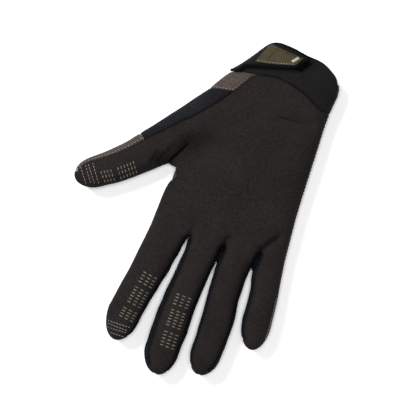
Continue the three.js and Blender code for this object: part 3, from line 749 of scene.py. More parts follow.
def cut_piece(skin: Skin, label: str, gap: float) -> Cut:
    """Takes one piece out of the skin and draws its edges back by half the seam gap.

    Args:
        skin: the whole skin.
        label: the piece.
        gap: width of a seam.

    Returns:
        The piece, with each point's distance to the piece's edge.
    """
    mine = skin.label == PIECES.index(label)
    ids, cells = np.unique(skin.cells[mine], return_inverse=True)
    cells = cells.reshape(-1, 4)
    points, normals = skin.points[ids].copy(), skin.normals[ids]
    runs = np.stack([cells, np.roll(cells, -1, axis=1)], axis=2).reshape(-1, 2)
    code, back = runs[:, 0] * len(ids) + runs[:, 1], runs[:, 1] * len(ids) + runs[:, 0]
    edges = runs[~np.isin(code, back)]
    draw = np.zeros_like(points)
    for end in (0, 1):
        i = edges[:, end]
        m = np.cross(normals[i], points[edges[:, 1]] - points[edges[:, 0]])
        np.add.at(draw, i, m / np.maximum(np.linalg.norm(m, axis=1), 1e-12)[:, None])
    rim = np.unique(edges)
    size = (draw[rim] ** 2).sum(axis=1)
    points[rim] += draw[rim] * (gap / 2 / np.maximum(0.5, size / 2))[:, None]
    to_edge = np.full(len(points), 1e3)
    for start in range(0, len(points), 2000):
        off = points[start:start + 2000, None] - points[rim][None]
        to_edge[start:start + 2000] = np.sqrt((off**2).sum(axis=2)).min(axis=1)
    return Cut(points, normals, cells, skin.cloth[mine], edges, to_edge)


# Meshes


def make_object(name: str, points: Array, faces: list[Array], shift: Array, cloth: Array | None = None,
                seam: Array | None = None) -> bpy.types.Object:
    """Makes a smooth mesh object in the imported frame.

    Args:
        name: name of the piece.
        points: points in mm of the form.
        faces: arrays of faces, each of one corner count.
        shift: offset of the form to the frame, in mm.
        cloth: cloth coordinates of every corner in order, in mm.
        seam: each point's distance to the piece's edge, in mm.

    Returns:
        The object, linked to the scene.
    """
    mesh = bpy.data.meshes.new(name)
    corners = np.concatenate([f.reshape(-1) for f in faces])
    sizes = np.concatenate([np.full(len(f), f.shape[1]) for f in faces])
    mesh.vertices.add(len(points))
    mesh.vertices.foreach_set("co", ((points + shift) * MM).astype(np.float32).reshape(-1))
    mesh.loops.add(len(corners))
    mesh.loops.foreach_set("vertex_index", corners.astype(np.int32))
    mesh.polygons.add(len(sizes))
    mesh.polygons.foreach_set("loop_start", np.concatenate([[0], np.cumsum(sizes)[:-1]]).astype(np.int32))
    mesh.polygons.foreach_set("use_smooth", np.ones(len(sizes), bool))
    if cloth is not None:
        layer = mesh.uv_layers.new(name="cloth")
        layer.uv.foreach_set("vector", (cloth * MM).astype(np.float32).reshape(-1))
    if seam is not None:
        attribute = mesh.attributes.new("seam", "FLOAT", "POINT")
        attribute.data.foreach_set("value", seam.astype(np.float32))
    mesh.update(calc_edges=True)
    mesh.validate()
    piece = bpy.data.objects.new(name, mesh)
    bpy.context.scene.collection.objects.link(piece)
    return piece


def dress(piece: bpy.types.Object, slot: str, material: bpy.types.Material,
          nodes: tuple[str, ...] = ()) -> None:
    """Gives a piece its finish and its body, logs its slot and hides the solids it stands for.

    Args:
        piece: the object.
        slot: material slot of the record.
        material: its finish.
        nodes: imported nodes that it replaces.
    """
    piece.data.materials.clear()
    piece.data.materials.append(material)
    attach(piece, "root")
    if nodes:
        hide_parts(*nodes)
    log.info("%s: %d faces, %s", piece.name, len(piece.data.polygons), slot)


@dataclass(frozen=True)
class ClothWall:
    """How a sewn piece is made: wall, turned-in edge and unevenness, in mm."""

    wall: float
    gap: float = 0.24
    edge_roll: float = 0.42
    edge_reach: float = 1.1
    waves: float = 0.16
    wave_size: float = 16.0
    pucker: float = 0.14
    pucker_size: float = 3.4
    pucker_reach: float = 2.4
    wave_start: float = 6.0

    def build(self, skin: Skin, label: str) -> bpy.types.Object:
        """Thickens a piece of the skin inwards, its edge rolled under and its seam puckered.

        The outer face is the skin, less the roll times exp(-(distance to edge / reach) squared),
        plus waves and seam puckers of seeded ripples. The inner face lies one wall inside.

        Args:
            skin: the whole skin.
            label: the piece.

        Returns:
            The closed mesh object.
        """
        cut = cut_piece(skin, label, self.gap)
        count = len(cut.points)
        roll = self.edge_roll * np.exp(-(cut.to_edge / self.edge_reach) ** 2)
        lift = self.waves * ripple(cut.points, self.wave_size, 3) * ease(cut.to_edge / self.wave_start)
        near_seam = np.exp(-cut.to_edge / self.pucker_reach)
        pucker = self.pucker * ripple(cut.points, self.pucker_size, 5) * near_seam
        crease = skin.form.fold_depth(cut.points[:, :2], skin.form.creases) * ease(cut.normals[:, 2] / 0.5)
        rise = lift + pucker * ease(cut.to_edge / 1.2) - roll - crease
        outer = cut.points + cut.normals * rise[:, None]
        outer[:, 2] = np.maximum(outer[:, 2], 0)
        inner = cut.points - cut.normals * (self.wall + crease)[:, None]
        a, b = cut.edges[:, 0], cut.edges[:, 1]
        sides = np.stack([a, a + count, b + count, b], axis=1)
        faces = [cut.cells, cut.cells[:, ::-1] + count, sides]
        spot = np.zeros((count, 2))
        spot[cut.cells.reshape(-1)] = cut.cloth.reshape(-1, 2)
        side_cloth = np.stack([spot[a], spot[a], spot[b], spot[b]], axis=1)
        cloth = np.vstack([c.reshape(-1, 2) for c in (cut.cloth, cut.cloth[:, ::-1], side_cloth)])
        seam = np.concatenate([cut.to_edge, np.zeros(count)])
        return make_object(label, np.vstack([outer, inner]), faces, skin.form.shift, cloth, seam)


def bead_shape(around: int, along: int, square: float) -> tuple[Array, Array]:
    """Closed rounded bar: a superellipsoid, x = c(v) c(u), y = c(v) s(u), z = s(v), each to the power square.

    Args:
        around: points round it.
        along: points from pole to pole.
        square: exponent, 1 an ellipsoid, less is squarer.

    Returns:
        Points in a cube from -1 to 1, and its faces as quads, poles closed by thin quads.
    """
    u = np.linspace(0, 2 * np.pi, around, endpoint=False)[None]
    v = np.linspace(-np.pi / 2, np.pi / 2, along)[:, None]

    def power(value: Array) -> Array:
        """Signed power of a sine or cosine."""
        return np.sign(value) * np.abs(value) ** square

    cv = np.where(np.abs(np.abs(v) - np.pi / 2) < 1e-6, 0.02, np.cos(v))
    points = np.stack(np.broadcast_arrays(power(cv) * power(np.cos(u)), power(cv) * power(np.sin(u)),
                                          power(np.sin(v))), axis=2).reshape(-1, 3)
    j, i = np.meshgrid(np.arange(along - 1), np.arange(around), indexing="ij")
    k = (i + 1) % around
    quads = np.stack([j * around + i, j * around + k, (j + 1) * around + k, (j + 1) * around + i], axis=2)
    rows = np.arange(around // 2 - 1)
    low = np.stack([rows, around - 1 - rows, around - 2 - rows, rows + 1], axis=1)
    low = np.where(low >= around, 0, low)
    high = low[:, ::-1] + (along - 1) * around
    return points, np.vstack([quads.reshape(-1, 4), low, high])


def beads(name: str, centres: Array, run: Array, normals: Array, size: Triple, shift: Array,
          square: float, around: int = 10, along: int = 5) -> bpy.types.Object:
    """Many small bars as one mesh: each is the bead shape turned to its run and normal.

    Args:
        name: name of the piece.
        centres: middle of each bar.
        run: direction of each bar's length.
        normals: outward direction under each bar.
        size: half length, half width and half height.
        shift: offset of the form to the frame.
        square: squareness of the bead.
        around: points round each bead.
        along: points from its base to its top.

    Returns:
        The joined mesh object.
    """
    base, quads = bead_shape(around, along, square)
    run = run - (run * normals).sum(axis=1)[:, None] * normals
    run /= np.linalg.norm(run, axis=1)[:, None]
    side = np.cross(normals, run)
    axes = np.stack([run * size[0], side * size[1], normals * size[2]], axis=1)
    points = centres[:, None] + np.einsum("pk,nkc->npc", base, axes)
    faces = quads[None] + (np.arange(len(centres)) * len(base))[:, None, None]
    return make_object(name, points.reshape(-1, 3), [faces.reshape(-1, 4)], shift)


def tube(name: str, path: Array, radius: float, shift: Array, around: int = 12) -> bpy.types.Object:
    """Round profile carried along a path: point = path + radius (side cos t + up sin t).

    Args:
        name: name of the piece.
        path: centre line.
        radius: radius of the profile, less at both ends.
        shift: offset of the form to the frame.
        around: points round the profile.

    Returns:
        The mesh object, its ends closed.
    """
    ahead = np.roll(path, -1, axis=0) - np.roll(path, 1, axis=0)
    ahead[0], ahead[-1] = path[1] - path[0], path[-1] - path[-2]
    thick = np.full(len(path), radius)
    thick[[0, -1]] *= TUBE_END_SHARE
    ahead /= np.linalg.norm(ahead, axis=1)[:, None]
    side = np.cross(ahead, (0.0, 0.0, 1.0))
    side /= np.maximum(np.linalg.norm(side, axis=1), 1e-9)[:, None]
    up = np.cross(side, ahead)
    t = np.linspace(0, 2 * np.pi, around, endpoint=False)[None, :, None]
    ring = path[:, None] + thick[:, None, None] * (side[:, None] * np.cos(t) + up[:, None] * np.sin(t))
    n = len(path)
    j, i = np.meshgrid(np.arange(n - 1), np.arange(around), indexing="ij")
    here, beside = j * around + i, j * around + (i + 1) % around
    quads = np.stack([here, here + around, beside + around, beside], axis=2).reshape(-1, 4)
    ends = np.array([np.arange(around), np.arange(n * around - 1, n * around - around - 1, -1)])
    return make_object(name, ring.reshape(-1, 3), [quads, ends], shift)


# Finishes


VECTOR, FLOAT = "NodeSocketVector", "NodeSocketFloat"


class Nodes:
    """A node tree under construction, with short calls for the nodes it needs."""

    def __init__(self, tree: bpy.types.NodeTree) -> None:
        """Starts on a tree."""
        self.tree = tree

    def add(self, kind: str, inputs: dict | None = None, **settings: object) -> bpy.types.Node:
        """Adds a node, sets its properties and its inputs.

        Args:
            kind: node type.
            inputs: value or linked socket by input name or number.
            settings: properties of the node.

        Returns:
            The node.
        """
        node = self.tree.nodes.new(kind)
        for key, value in settings.items():
            setattr(node, key, value)
        for key, value in (inputs or {}).items():
            if isinstance(value, bpy.types.NodeSocket):
                self.tree.links.new(value, node.inputs[key])
            else:
                node.inputs[key].default_value = value
        return node

    def group(self, tree: bpy.types.NodeTree, **inputs: object) -> bpy.types.Node:
        """Places a shared group with its inputs."""
        return self.add("ShaderNodeGroup", inputs, node_tree=tree)

    def math(self, operation: str, *values: object, clamp: bool = False) -> bpy.types.NodeSocket:
        """Adds a math node and returns its value."""
        node = self.add("ShaderNodeMath", dict(enumerate(values)), operation=operation, use_clamp=clamp)
        return node.outputs[0]

    def noise(self, vector: object, scale: float, detail: float = 2.0, rough: float = 0.5
              ) -> bpy.types.NodeSocket:
        """Adds a noise texture and returns its value."""
        inputs = {"Vector": vector, "Scale": scale, "Detail": detail, "Roughness": rough}
        return self.add("ShaderNodeTexNoise", inputs).outputs["Fac"]

    def span(self, value: object, low: float, high: float, to_low: float = 0.0, to_high: float = 1.0
             ) -> bpy.types.NodeSocket:
        """Adds a smooth map range and returns its result."""
        inputs = {"Value": value, "From Min": low, "From Max": high, "To Min": to_low, "To Max": to_high}
        return self.add("ShaderNodeMapRange", inputs, interpolation_type="SMOOTHSTEP").outputs[0]

    def blend(self, factor: object, one: object, other: object) -> bpy.types.NodeSocket:
        """Adds a colour mix and returns its result."""
        node = self.add("ShaderNodeMix", data_type="RGBA")
        for index, value in ((0, factor), (6, one), (7, other)):
            if isinstance(value, bpy.types.NodeSocket):
                self.tree.links.new(value, node.inputs[index])
            else:
                node.inputs[index].default_value = value
        return node.outputs[2]


def shared_group(name: str, inputs: dict[str, str], outputs: dict[str, str]
                 ) -> tuple[bpy.types.NodeTree, Nodes, bpy.types.Node, bpy.types.Node]:
    """Starts a shader node group with named sockets.

    Args:
        name: the group's name.
        inputs: socket type by input name.
        outputs: socket type by output name.

    Returns:
        The group, its builder, its input node and its output node.
    """
    tree = bpy.data.node_groups.new(name, "ShaderNodeTree")
    for key, kind in inputs.items():
        tree.interface.new_socket(key, in_out="INPUT", socket_type=kind)
    for key, kind in outputs.items():
        tree.interface.new_socket(key, in_out="OUTPUT", socket_type=kind)
    made = Nodes(tree)
    return tree, made, made.add("NodeGroupInput"), made.add("NodeGroupOutput")


def grain_group() -> bpy.types.NodeTree:
    """Nap of brushed cloth: fine fibres, mottling and broad patches of lighter nap."""
    tree, n, given, out = shared_group(
        "brushed_grain", {"Vector": VECTOR, "Fibre": FLOAT, "Patch": FLOAT},
        {"Tone": FLOAT, "Height": FLOAT})
    v = given.outputs["Vector"]
    fibres = {"Vector": v, "Scale": given.outputs["Fibre"], "Detail": 3.0}
    fine = n.add("ShaderNodeTexNoise", fibres).outputs["Fac"]
    broad = n.add("ShaderNodeTexNoise", {"Vector": v, "Scale": given.outputs["Patch"], "Detail": 4.0,
                                         "Roughness": 0.6}).outputs["Fac"]
    middle = n.noise(v, 850.0, 2.0, 0.7)
    tone = n.math("ADD", n.math("MULTIPLY", fine, 0.35), n.math("MULTIPLY", broad, 0.2))
    tone = n.math("ADD", tone, n.math("MULTIPLY", middle, 0.45))
    n.tree.links.new(n.span(tone, 0.38, 0.62), out.inputs["Tone"])
    n.tree.links.new(n.math("ADD", n.math("MULTIPLY", fine, 0.7), n.math("MULTIPLY", middle, 0.3)),
                     out.inputs["Height"])
    return tree


def knit_group() -> bpy.types.NodeTree:
    """Knit loops: columns of slanted stitches, the slant turning over at the middle of each column."""
    tree, n, given, out = shared_group(
        "knit_loops", {"Vector": VECTOR, "Column": FLOAT, "Course": FLOAT},
        {"Height": FLOAT})
    parts = n.add("ShaderNodeSeparateXYZ", {0: given.outputs["Vector"]})
    column = n.math("DIVIDE", parts.outputs[1], given.outputs["Column"])
    course = n.math("DIVIDE", parts.outputs[0], given.outputs["Course"])
    off = n.math("ABSOLUTE", n.math("SUBTRACT", n.math("FRACT", column), 0.5))
    slant = n.math("ADD", course, n.math("MULTIPLY", off, 1.3))
    loop = n.math("ADD", n.math("MULTIPLY", n.math("SINE", n.math("MULTIPLY", slant, 2 * math.pi)), 0.5), 0.5)
    ridge = n.math("SUBTRACT", 1.0, n.math("POWER", n.math("MULTIPLY", n.math(
        "ABSOLUTE", n.math("SUBTRACT", off, 0.25)), 4.0), 2.0))
    n.tree.links.new(n.math("MULTIPLY", loop, n.math("MAXIMUM", ridge, 0.0)), out.inputs["Height"])
    return tree


def mesh_group() -> bpy.types.NodeTree:
    """Open mesh: small pits in rows, each a rounded cell of a slightly uneven grid."""
    tree, n, given, out = shared_group(
        "mesh_pits", {"Vector": VECTOR, "Pitch": FLOAT},
        {"Pit": FLOAT, "Height": FLOAT})
    scale = n.math("DIVIDE", 1.0, given.outputs["Pitch"])
    grid = {"Vector": given.outputs["Vector"], "Scale": scale, "Randomness": 0.25}
    cells = n.add("ShaderNodeTexVoronoi", grid)
    pit = n.span(cells.outputs["Distance"], 0.18, 0.42, 1.0, 0.0)
    n.tree.links.new(pit, out.inputs["Pit"])
    n.tree.links.new(n.math("SUBTRACT", 1.0, pit), out.inputs["Height"])
    return tree


def seam_shade_and_wear_group() -> bpy.types.NodeTree:
    """Painted shade and wear at a sewn edge: a mask that is 1 in the seam, falling off over a reach, broken
    up by noise.
    """
    tree, n, given, out = shared_group(
        "seam_shade_and_wear", {"Distance": FLOAT, "Reach": FLOAT, "Vector": VECTOR},
        {"Mask": FLOAT})
    share = n.math("DIVIDE", given.outputs["Distance"], given.outputs["Reach"])
    near = n.math("SUBTRACT", 1.0, share, clamp=True)
    uneven = n.span(n.noise(given.outputs["Vector"], 260.0), 0.3, 0.7, 0.6, 1.0)
    n.tree.links.new(n.math("MULTIPLY", near, uneven), out.inputs["Mask"])
    return tree


def fold_shade_group() -> bpy.types.NodeTree:
    """Painted shade along a fold line: exp(-(distance to the line / width) squared), fading to the line's far
    end.
    """
    tree, n, given, out = shared_group(
        "painted_fold_shade", {"Place": VECTOR, "Start": VECTOR, "Reach": VECTOR,
                      "Width": FLOAT}, {"Mask": FLOAT})
    place, start, reach, width = (given.outputs[k] for k in ("Place", "Start", "Reach", "Width"))
    flat = n.add("ShaderNodeVectorMath", {0: place, 1: (1.0, 1.0, 0.0)}, operation="MULTIPLY").outputs[0]
    off = n.add("ShaderNodeVectorMath", {0: flat, 1: start}, operation="SUBTRACT").outputs[0]
    along = n.add("ShaderNodeVectorMath", {0: off, 1: reach}, operation="DOT_PRODUCT").outputs["Value"]
    whole = n.add("ShaderNodeVectorMath", {0: reach, 1: reach}, operation="DOT_PRODUCT").outputs["Value"]
    share = n.math("DIVIDE", along, whole, clamp=True)
    nearest = n.add("ShaderNodeVectorMath", {0: reach, "Scale": share}, operation="SCALE").outputs[0]
    gap = n.add("ShaderNodeVectorMath", {0: off, 1: nearest}, operation="DISTANCE").outputs["Value"]
    ratio = n.math("DIVIDE", gap, width)
    bell = n.math("EXPONENT", n.math("MULTIPLY", n.math("MULTIPLY", ratio, ratio), -1.0))
    fade = n.math("POWER", n.math("SUBTRACT", 1.05, share, clamp=True), 0.35)
    n.tree.links.new(n.math("MULTIPLY", bell, fade), out.inputs["Mask"])
    return tree


class Weave(Enum):
    """Surface of a cloth finish."""

    BRUSHED = "brushed"
    KNIT = "knit"
    MESH = "mesh"
    STRETCH = "stretch"


@dataclass(frozen=True)
class ClothFinish:
    """A cloth: its dark and light tone, nap, weave size in metres and bump."""

    name: str
    weave: Weave
    dark: Triple
    light: Triple
    roughness: float = 0.9
    sheen: float = 0.15
    fibre: float = 2600.0
    patch: float = 45.0
    column: float = 0.0009
    course: float = 0.0011
    bump: float = 0.00012
    seam_reach: float = 1.6
    seam_shade_and_wear_share: float = 0.55
    specular: float = 0.05
    painted_fold_shades: tuple[Fold, ...] = ()

    def build(self, groups: dict[str, bpy.types.NodeTree], form: GloveForm) -> bpy.types.Material:
        """Makes the material.

        Args:
            groups: the shared node groups by name.
            form: the form, which places the painted shade of the folds.

        Returns:
            The material.
        """
        material = bpy.data.materials.new(self.name)
        material.use_nodes = True
        n = Nodes(material.node_tree)
        shader = n.tree.nodes["Principled BSDF"]
        place = n.add("ShaderNodeTexCoord")
        here, cloth = place.outputs["Object"], n.add("ShaderNodeUVMap", uv_map="cloth").outputs[0]
        grain = n.group(groups["brushed_grain"], Vector=here, Fibre=self.fibre, Patch=self.patch)
        height, tone = grain.outputs["Height"], grain.outputs["Tone"]
        colour = n.blend(tone, (*self.dark, 1), (*self.light, 1))
        if self.weave in (Weave.KNIT, Weave.STRETCH):
            loops = n.group(groups["knit_loops"], Vector=cloth, Column=self.column, Course=self.course)
            knit = loops.outputs[0]
            height = n.math("ADD", n.math("MULTIPLY", height, 0.3), n.math("MULTIPLY", knit, 0.7))
            share = 0.55 if self.weave is Weave.KNIT else 0.25
            # Painted shade: the knit's colour darkens in the hollows between its loops.
            depth = n.math("MULTIPLY", n.math("SUBTRACT", 1.0, knit), share)
            colour = n.blend(depth, colour, tuple(c * 0.35 for c in self.dark) + (1,))
        if self.weave is Weave.MESH:
            mesh = n.group(groups["mesh_pits"], Vector=here, Pitch=self.column)
            open_mesh = n.math("MULTIPLY", mesh.outputs["Height"], 0.75)
            height = n.math("ADD", n.math("MULTIPLY", height, 0.25), open_mesh)
            # Painted shade: the colour darkens in the mesh's pits.
            colour = n.blend(n.math("MULTIPLY", mesh.outputs["Pit"], 0.6), colour,
                             tuple(c * 0.3 for c in self.dark) + (1,))
        # Painted shade and wear: the colour darkens towards each sewn edge.
        seam = n.add("ShaderNodeAttribute", attribute_name="seam")
        edge = n.group(groups["seam_shade_and_wear"], Distance=seam.outputs["Fac"], Reach=self.seam_reach, Vector=here)
        colour = n.blend(n.math("MULTIPLY", edge.outputs[0], self.seam_shade_and_wear_share), colour,
                         tuple(c * 0.3 for c in self.dark) + (1,))
        # Painted shade: the colour darkens along each fold line.
        for mark in self.painted_fold_shades:
            start, end = (form.plan(((mark.out, mark.up), (mark.out2, mark.up2))) + form.shift[:2]) * MM
            line = n.group(groups["painted_fold_shade"], Place=here, Start=(*start, 0), Reach=(*(end - start), 0),
                           Width=mark.spread * MM)
            painted_shade = n.math("MULTIPLY", line.outputs[0], mark.depth)
            colour = n.blend(painted_shade, colour, tuple(c * 0.02 for c in self.dark) + (1,))
        rough = n.span(tone, 0.0, 1.0, self.roughness, self.roughness - 0.08)
        bump = n.add("ShaderNodeBump", {"Height": height, "Strength": 0.9, "Distance": self.bump})
        for key, value in (("Base Color", colour), ("Roughness", rough), ("Normal", bump.outputs[0])):
            n.tree.links.new(value, shader.inputs[key])
        shader.inputs["Sheen Weight"].default_value = self.sheen
        shader.inputs["Sheen Roughness"].default_value = 0.5
        shader.inputs["Specular IOR Level"].default_value = self.specular
        return material


@dataclass(frozen=True)
class MouldedFinish:
    """A moulded, rubbery or thread-like surface: two tones, roughness, grain and coat."""

    name: str
    dark: Triple
    light: Triple
    roughness: float = 0.5
    grain: float = 1500.0
    patch: float = 160.0
    bump: float = 0.00004
    specular: float = 0.2

    def build(self, groups: dict[str, bpy.types.NodeTree]) -> bpy.types.Material:
        """Makes the material.

        Args:
            groups: the shared node groups by name.

        Returns:
            The material.
        """
        material = bpy.data.materials.new(self.name)
        material.use_nodes = True
        n = Nodes(material.node_tree)
        shader = n.tree.nodes["Principled BSDF"]
        here = n.add("ShaderNodeTexCoord").outputs["Object"]
        grain = n.group(groups["brushed_grain"], Vector=here, Fibre=self.grain, Patch=self.patch)
        colour = n.blend(grain.outputs["Tone"], (*self.dark, 1), (*self.light, 1))
        rough = n.span(grain.outputs["Tone"], 0.0, 1.0, self.roughness - 0.06, self.roughness + 0.08)
        raised = {"Height": grain.outputs["Height"], "Strength": 0.6, "Distance": self.bump}
        bump = n.add("ShaderNodeBump", raised)
        for key, value in (("Base Color", colour), ("Roughness", rough), ("Normal", bump.outputs[0])):
            n.tree.links.new(value, shader.inputs[key])
        shader.inputs["Specular IOR Level"].default_value = self.specular
        return material


# Painted shade in the suede's folds: dark lines put into the colour where the cloth folds. Here a fold's
# depth is its share of painted shade and its spread the line's width.
PAINTED_FOLD_SHADES = (
    Fold(-0.377, 0.185, -0.292, 0.318, 2.2, 0.85),
    Fold(-0.401, 0.18, -0.202, 0.402, 0.3, 5.0),
    Fold(-0.472, 0.153, -0.447, 0.207, 0.6, 1.7),
    Fold(-0.233, 0.318, -0.164, 0.438, 0.36, 9.0),
    Fold(0.442, -0.118, 0.509, -0.029, 0.3, 1.1),
    Fold(0.45, -0.256, 0.462, -0.137, 0.95, 1.3),
    Fold(0.191, -0.293, 0.217, -0.222, 0.9, 1.3),
    Fold(-0.062, -0.237, -0.043, -0.187, 0.75, 1.1),
    Fold(0.263, 0.644, 0.44, 0.657, 0.6, 0.55),
)
CLOTHS = (
    ClothFinish("suede", Weave.BRUSHED, (0.0074, 0.0062, 0.0058), (0.0156, 0.0132, 0.0124), 0.95, 0.01,
                bump=0.0003, painted_fold_shades=PAINTED_FOLD_SHADES),
    ClothFinish("back_mesh", Weave.MESH, (0.034, 0.0245, 0.0225), (0.066, 0.049, 0.0445), 0.9, 0.04,
                column=0.0011),
    ClothFinish("navy_knit", Weave.KNIT, (0.0058, 0.0058, 0.0082), (0.0146, 0.0146, 0.019), 0.9, 0.01,
                bump=0.0002),
    # The finger sides' knit: the navy knit painted darker, as painted shade on the sides and webs.
    ClothFinish("side_knit", Weave.KNIT, (0.0034, 0.0036, 0.006), (0.0098, 0.0104, 0.0155), 0.9, 0.0,
                bump=0.0002, patch=30.0),
    ClothFinish("cuff_stretch", Weave.STRETCH, (0.0061, 0.0056, 0.0058), (0.0112, 0.0103, 0.0108), 0.88, 0.01,
                column=0.0006, course=0.0007, bump=0.0001),
    ClothFinish("tab_cloth", Weave.STRETCH, (0.0032, 0.0032, 0.0043), (0.0075, 0.0074, 0.0093), 0.8, 0.01,
                column=0.0006, course=0.0007, bump=0.0001),
)
MOULDINGS = (
    MouldedFinish("hook_black", (0.0005, 0.0005, 0.0006), (0.0042, 0.0042, 0.0046), 0.9, specular=0.03),
    MouldedFinish("olive_moulded", (0.0235, 0.0187, 0.009), (0.0415, 0.0335, 0.017), 0.65, specular=0.1),
    MouldedFinish("pale_bar", (0.2, 0.19, 0.145), (0.28, 0.265, 0.21), 0.45),
    MouldedFinish("silicone", (0.06, 0.054, 0.038), (0.12, 0.109, 0.081), 0.5, grain=500.0),
    MouldedFinish("pale_thread", (0.13, 0.115, 0.1), (0.25, 0.225, 0.2), 0.8),
    MouldedFinish("dark_thread", (0.0035, 0.0033, 0.0035), (0.008, 0.0075, 0.0078), 0.8),
    MouldedFinish("tab_edge", (0.0008, 0.0008, 0.001), (0.0024, 0.0024, 0.0028), 0.7, specular=0.03),
)


# Sub-assemblies


@dataclass
class View:
    """The photo's view: straight down, turned about the view line."""

    mm_per_pixel: float = 0.65
    middle: float = 208.0
    roll: float = 20.0
    lens: float = 150.0
    sensor: float = 36.0
    height: float = 10.0

    def plan(self, pixels: Array) -> Array:
        """Plan points of the form under picture points.

        Args:
            pixels: picture points, one a row.

        Returns:
            Plan points in mm.
        """
        p = np.asarray(pixels, float)
        x, y = (p[..., 0] - self.middle) * self.mm_per_pixel, (self.middle - p[..., 1]) * self.mm_per_pixel
        c, s = math.cos(math.radians(self.roll)), math.sin(math.radians(self.roll))
        return np.stack([x * c - y * s, x * s + y * c], axis=-1)

    def place_camera(self, shift: Array) -> None:
        """Puts the camera over the glove.

        Args:
            shift: offset of the form to the frame.
        """
        data = bpy.data.cameras.new("camera")
        data.lens, data.sensor_width = self.lens, self.sensor
        camera = bpy.data.objects.new("camera", data)
        bpy.context.scene.collection.objects.link(camera)
        away = 2 * self.middle * self.mm_per_pixel * self.lens / self.sensor + self.height
        camera.location = (shift[0] * MM, shift[1] * MM, away * MM)
        camera.rotation_euler = (0, 0, math.radians(self.roll))
        data.clip_start, data.clip_end = 0.01, 20
        bpy.context.scene.camera = camera


@dataclass(frozen=True)
class GripBlock:
    """A block of silicone bars in picture points.

    The three places are its first bar, the last bar of that column and the first bar of the last column.
    """

    digit: str
    first: tuple[float, float]
    last: tuple[float, float]
    across: tuple[float, float]
    rows: int
    columns: int = 3


@dataclass
class SewnShell:
    """All sewn cloth pieces of the glove: palm, back, thumb side, finger sides and cuff."""

    skin: Skin
    materials: dict[str, bpy.types.Material]
    walls: dict[str, ClothWall] = field(default_factory=lambda: {
        "palm_panel": ClothWall(1.5), "back_panel": ClothWall(1.4), "thumb_side_panel": ClothWall(1.3),
        "fourchette_index_middle": ClothWall(1.3, waves=0.3, wave_size=9),
        "fourchette_middle_ring": ClothWall(1.3, waves=0.3, wave_size=9),
        "fourchette_ring_little": ClothWall(1.3, waves=0.3, wave_size=9),
        "cuff": ClothWall(2.0, waves=0.1),
    })
    finish: dict[str, tuple[str, str]] = field(default_factory=lambda: {
        "palm_panel": ("suede", "palm_suede"), "back_panel": ("back_mesh", "back_fabric"),
        # Finger sides and webs take the navy knit painted darker for shade.
        "thumb_side_panel": ("navy_knit", "navy_knit"), "fourchette_index_middle": ("side_knit", "navy_knit"),
        "fourchette_middle_ring": ("side_knit", "navy_knit"),
        "fourchette_ring_little": ("side_knit", "navy_knit"),
        "cuff": ("cuff_stretch", "cuff_stretch"),
    })

    def build(self) -> None:
        """Makes and dresses every sewn piece."""
        for label, wall in self.walls.items():
            material, slot = self.finish[label]
            piece = wall.build(self.skin, label)
            piece.name = label + "_cloth"
            dress(piece, slot, self.materials[material], (label,))


@dataclass
class WebGussets:
    """Knit gussets that close the top of two slots between the fingers, a little below the palm's face."""

    form: GloveForm
    view: View
    materials: dict[str, bpy.types.Material]
    lines: dict[str, tuple] = field(default_factory=lambda: {
        "middle_ring": ((223.0, 249.0), (216.8, 262.5)),
        "ring_little": ((260.2, 252.0), (252.2, 270.5)),
    })
    half_width: float = 1.7
    half_height: float = 4.6
    rise: float = 1.6

    def build(self) -> None:
        """Makes each gusset: a rounded bar along its slot, overlapping the knit at both sides."""
        for name, ends in self.lines.items():
            a, b = self.view.plan(np.array(ends))
            spot = (a + b)[None] / 2
            centre = np.column_stack([spot, self.form.middle(spot) + self.rise])
            run = np.append(b - a, 0)[None]
            size = (float(np.linalg.norm(b - a)) / 2, self.half_width, self.half_height)
            up = np.array([[0.0, 0.0, 1.0]])
            piece = beads(f"web_gusset_{name}", centre, run, up, size, self.form.shift, 0.9, 24, 20)
            # The gusset takes the navy knit painted darker, as painted shade in the web.
            dress(piece, "navy_knit", self.materials["side_knit"])


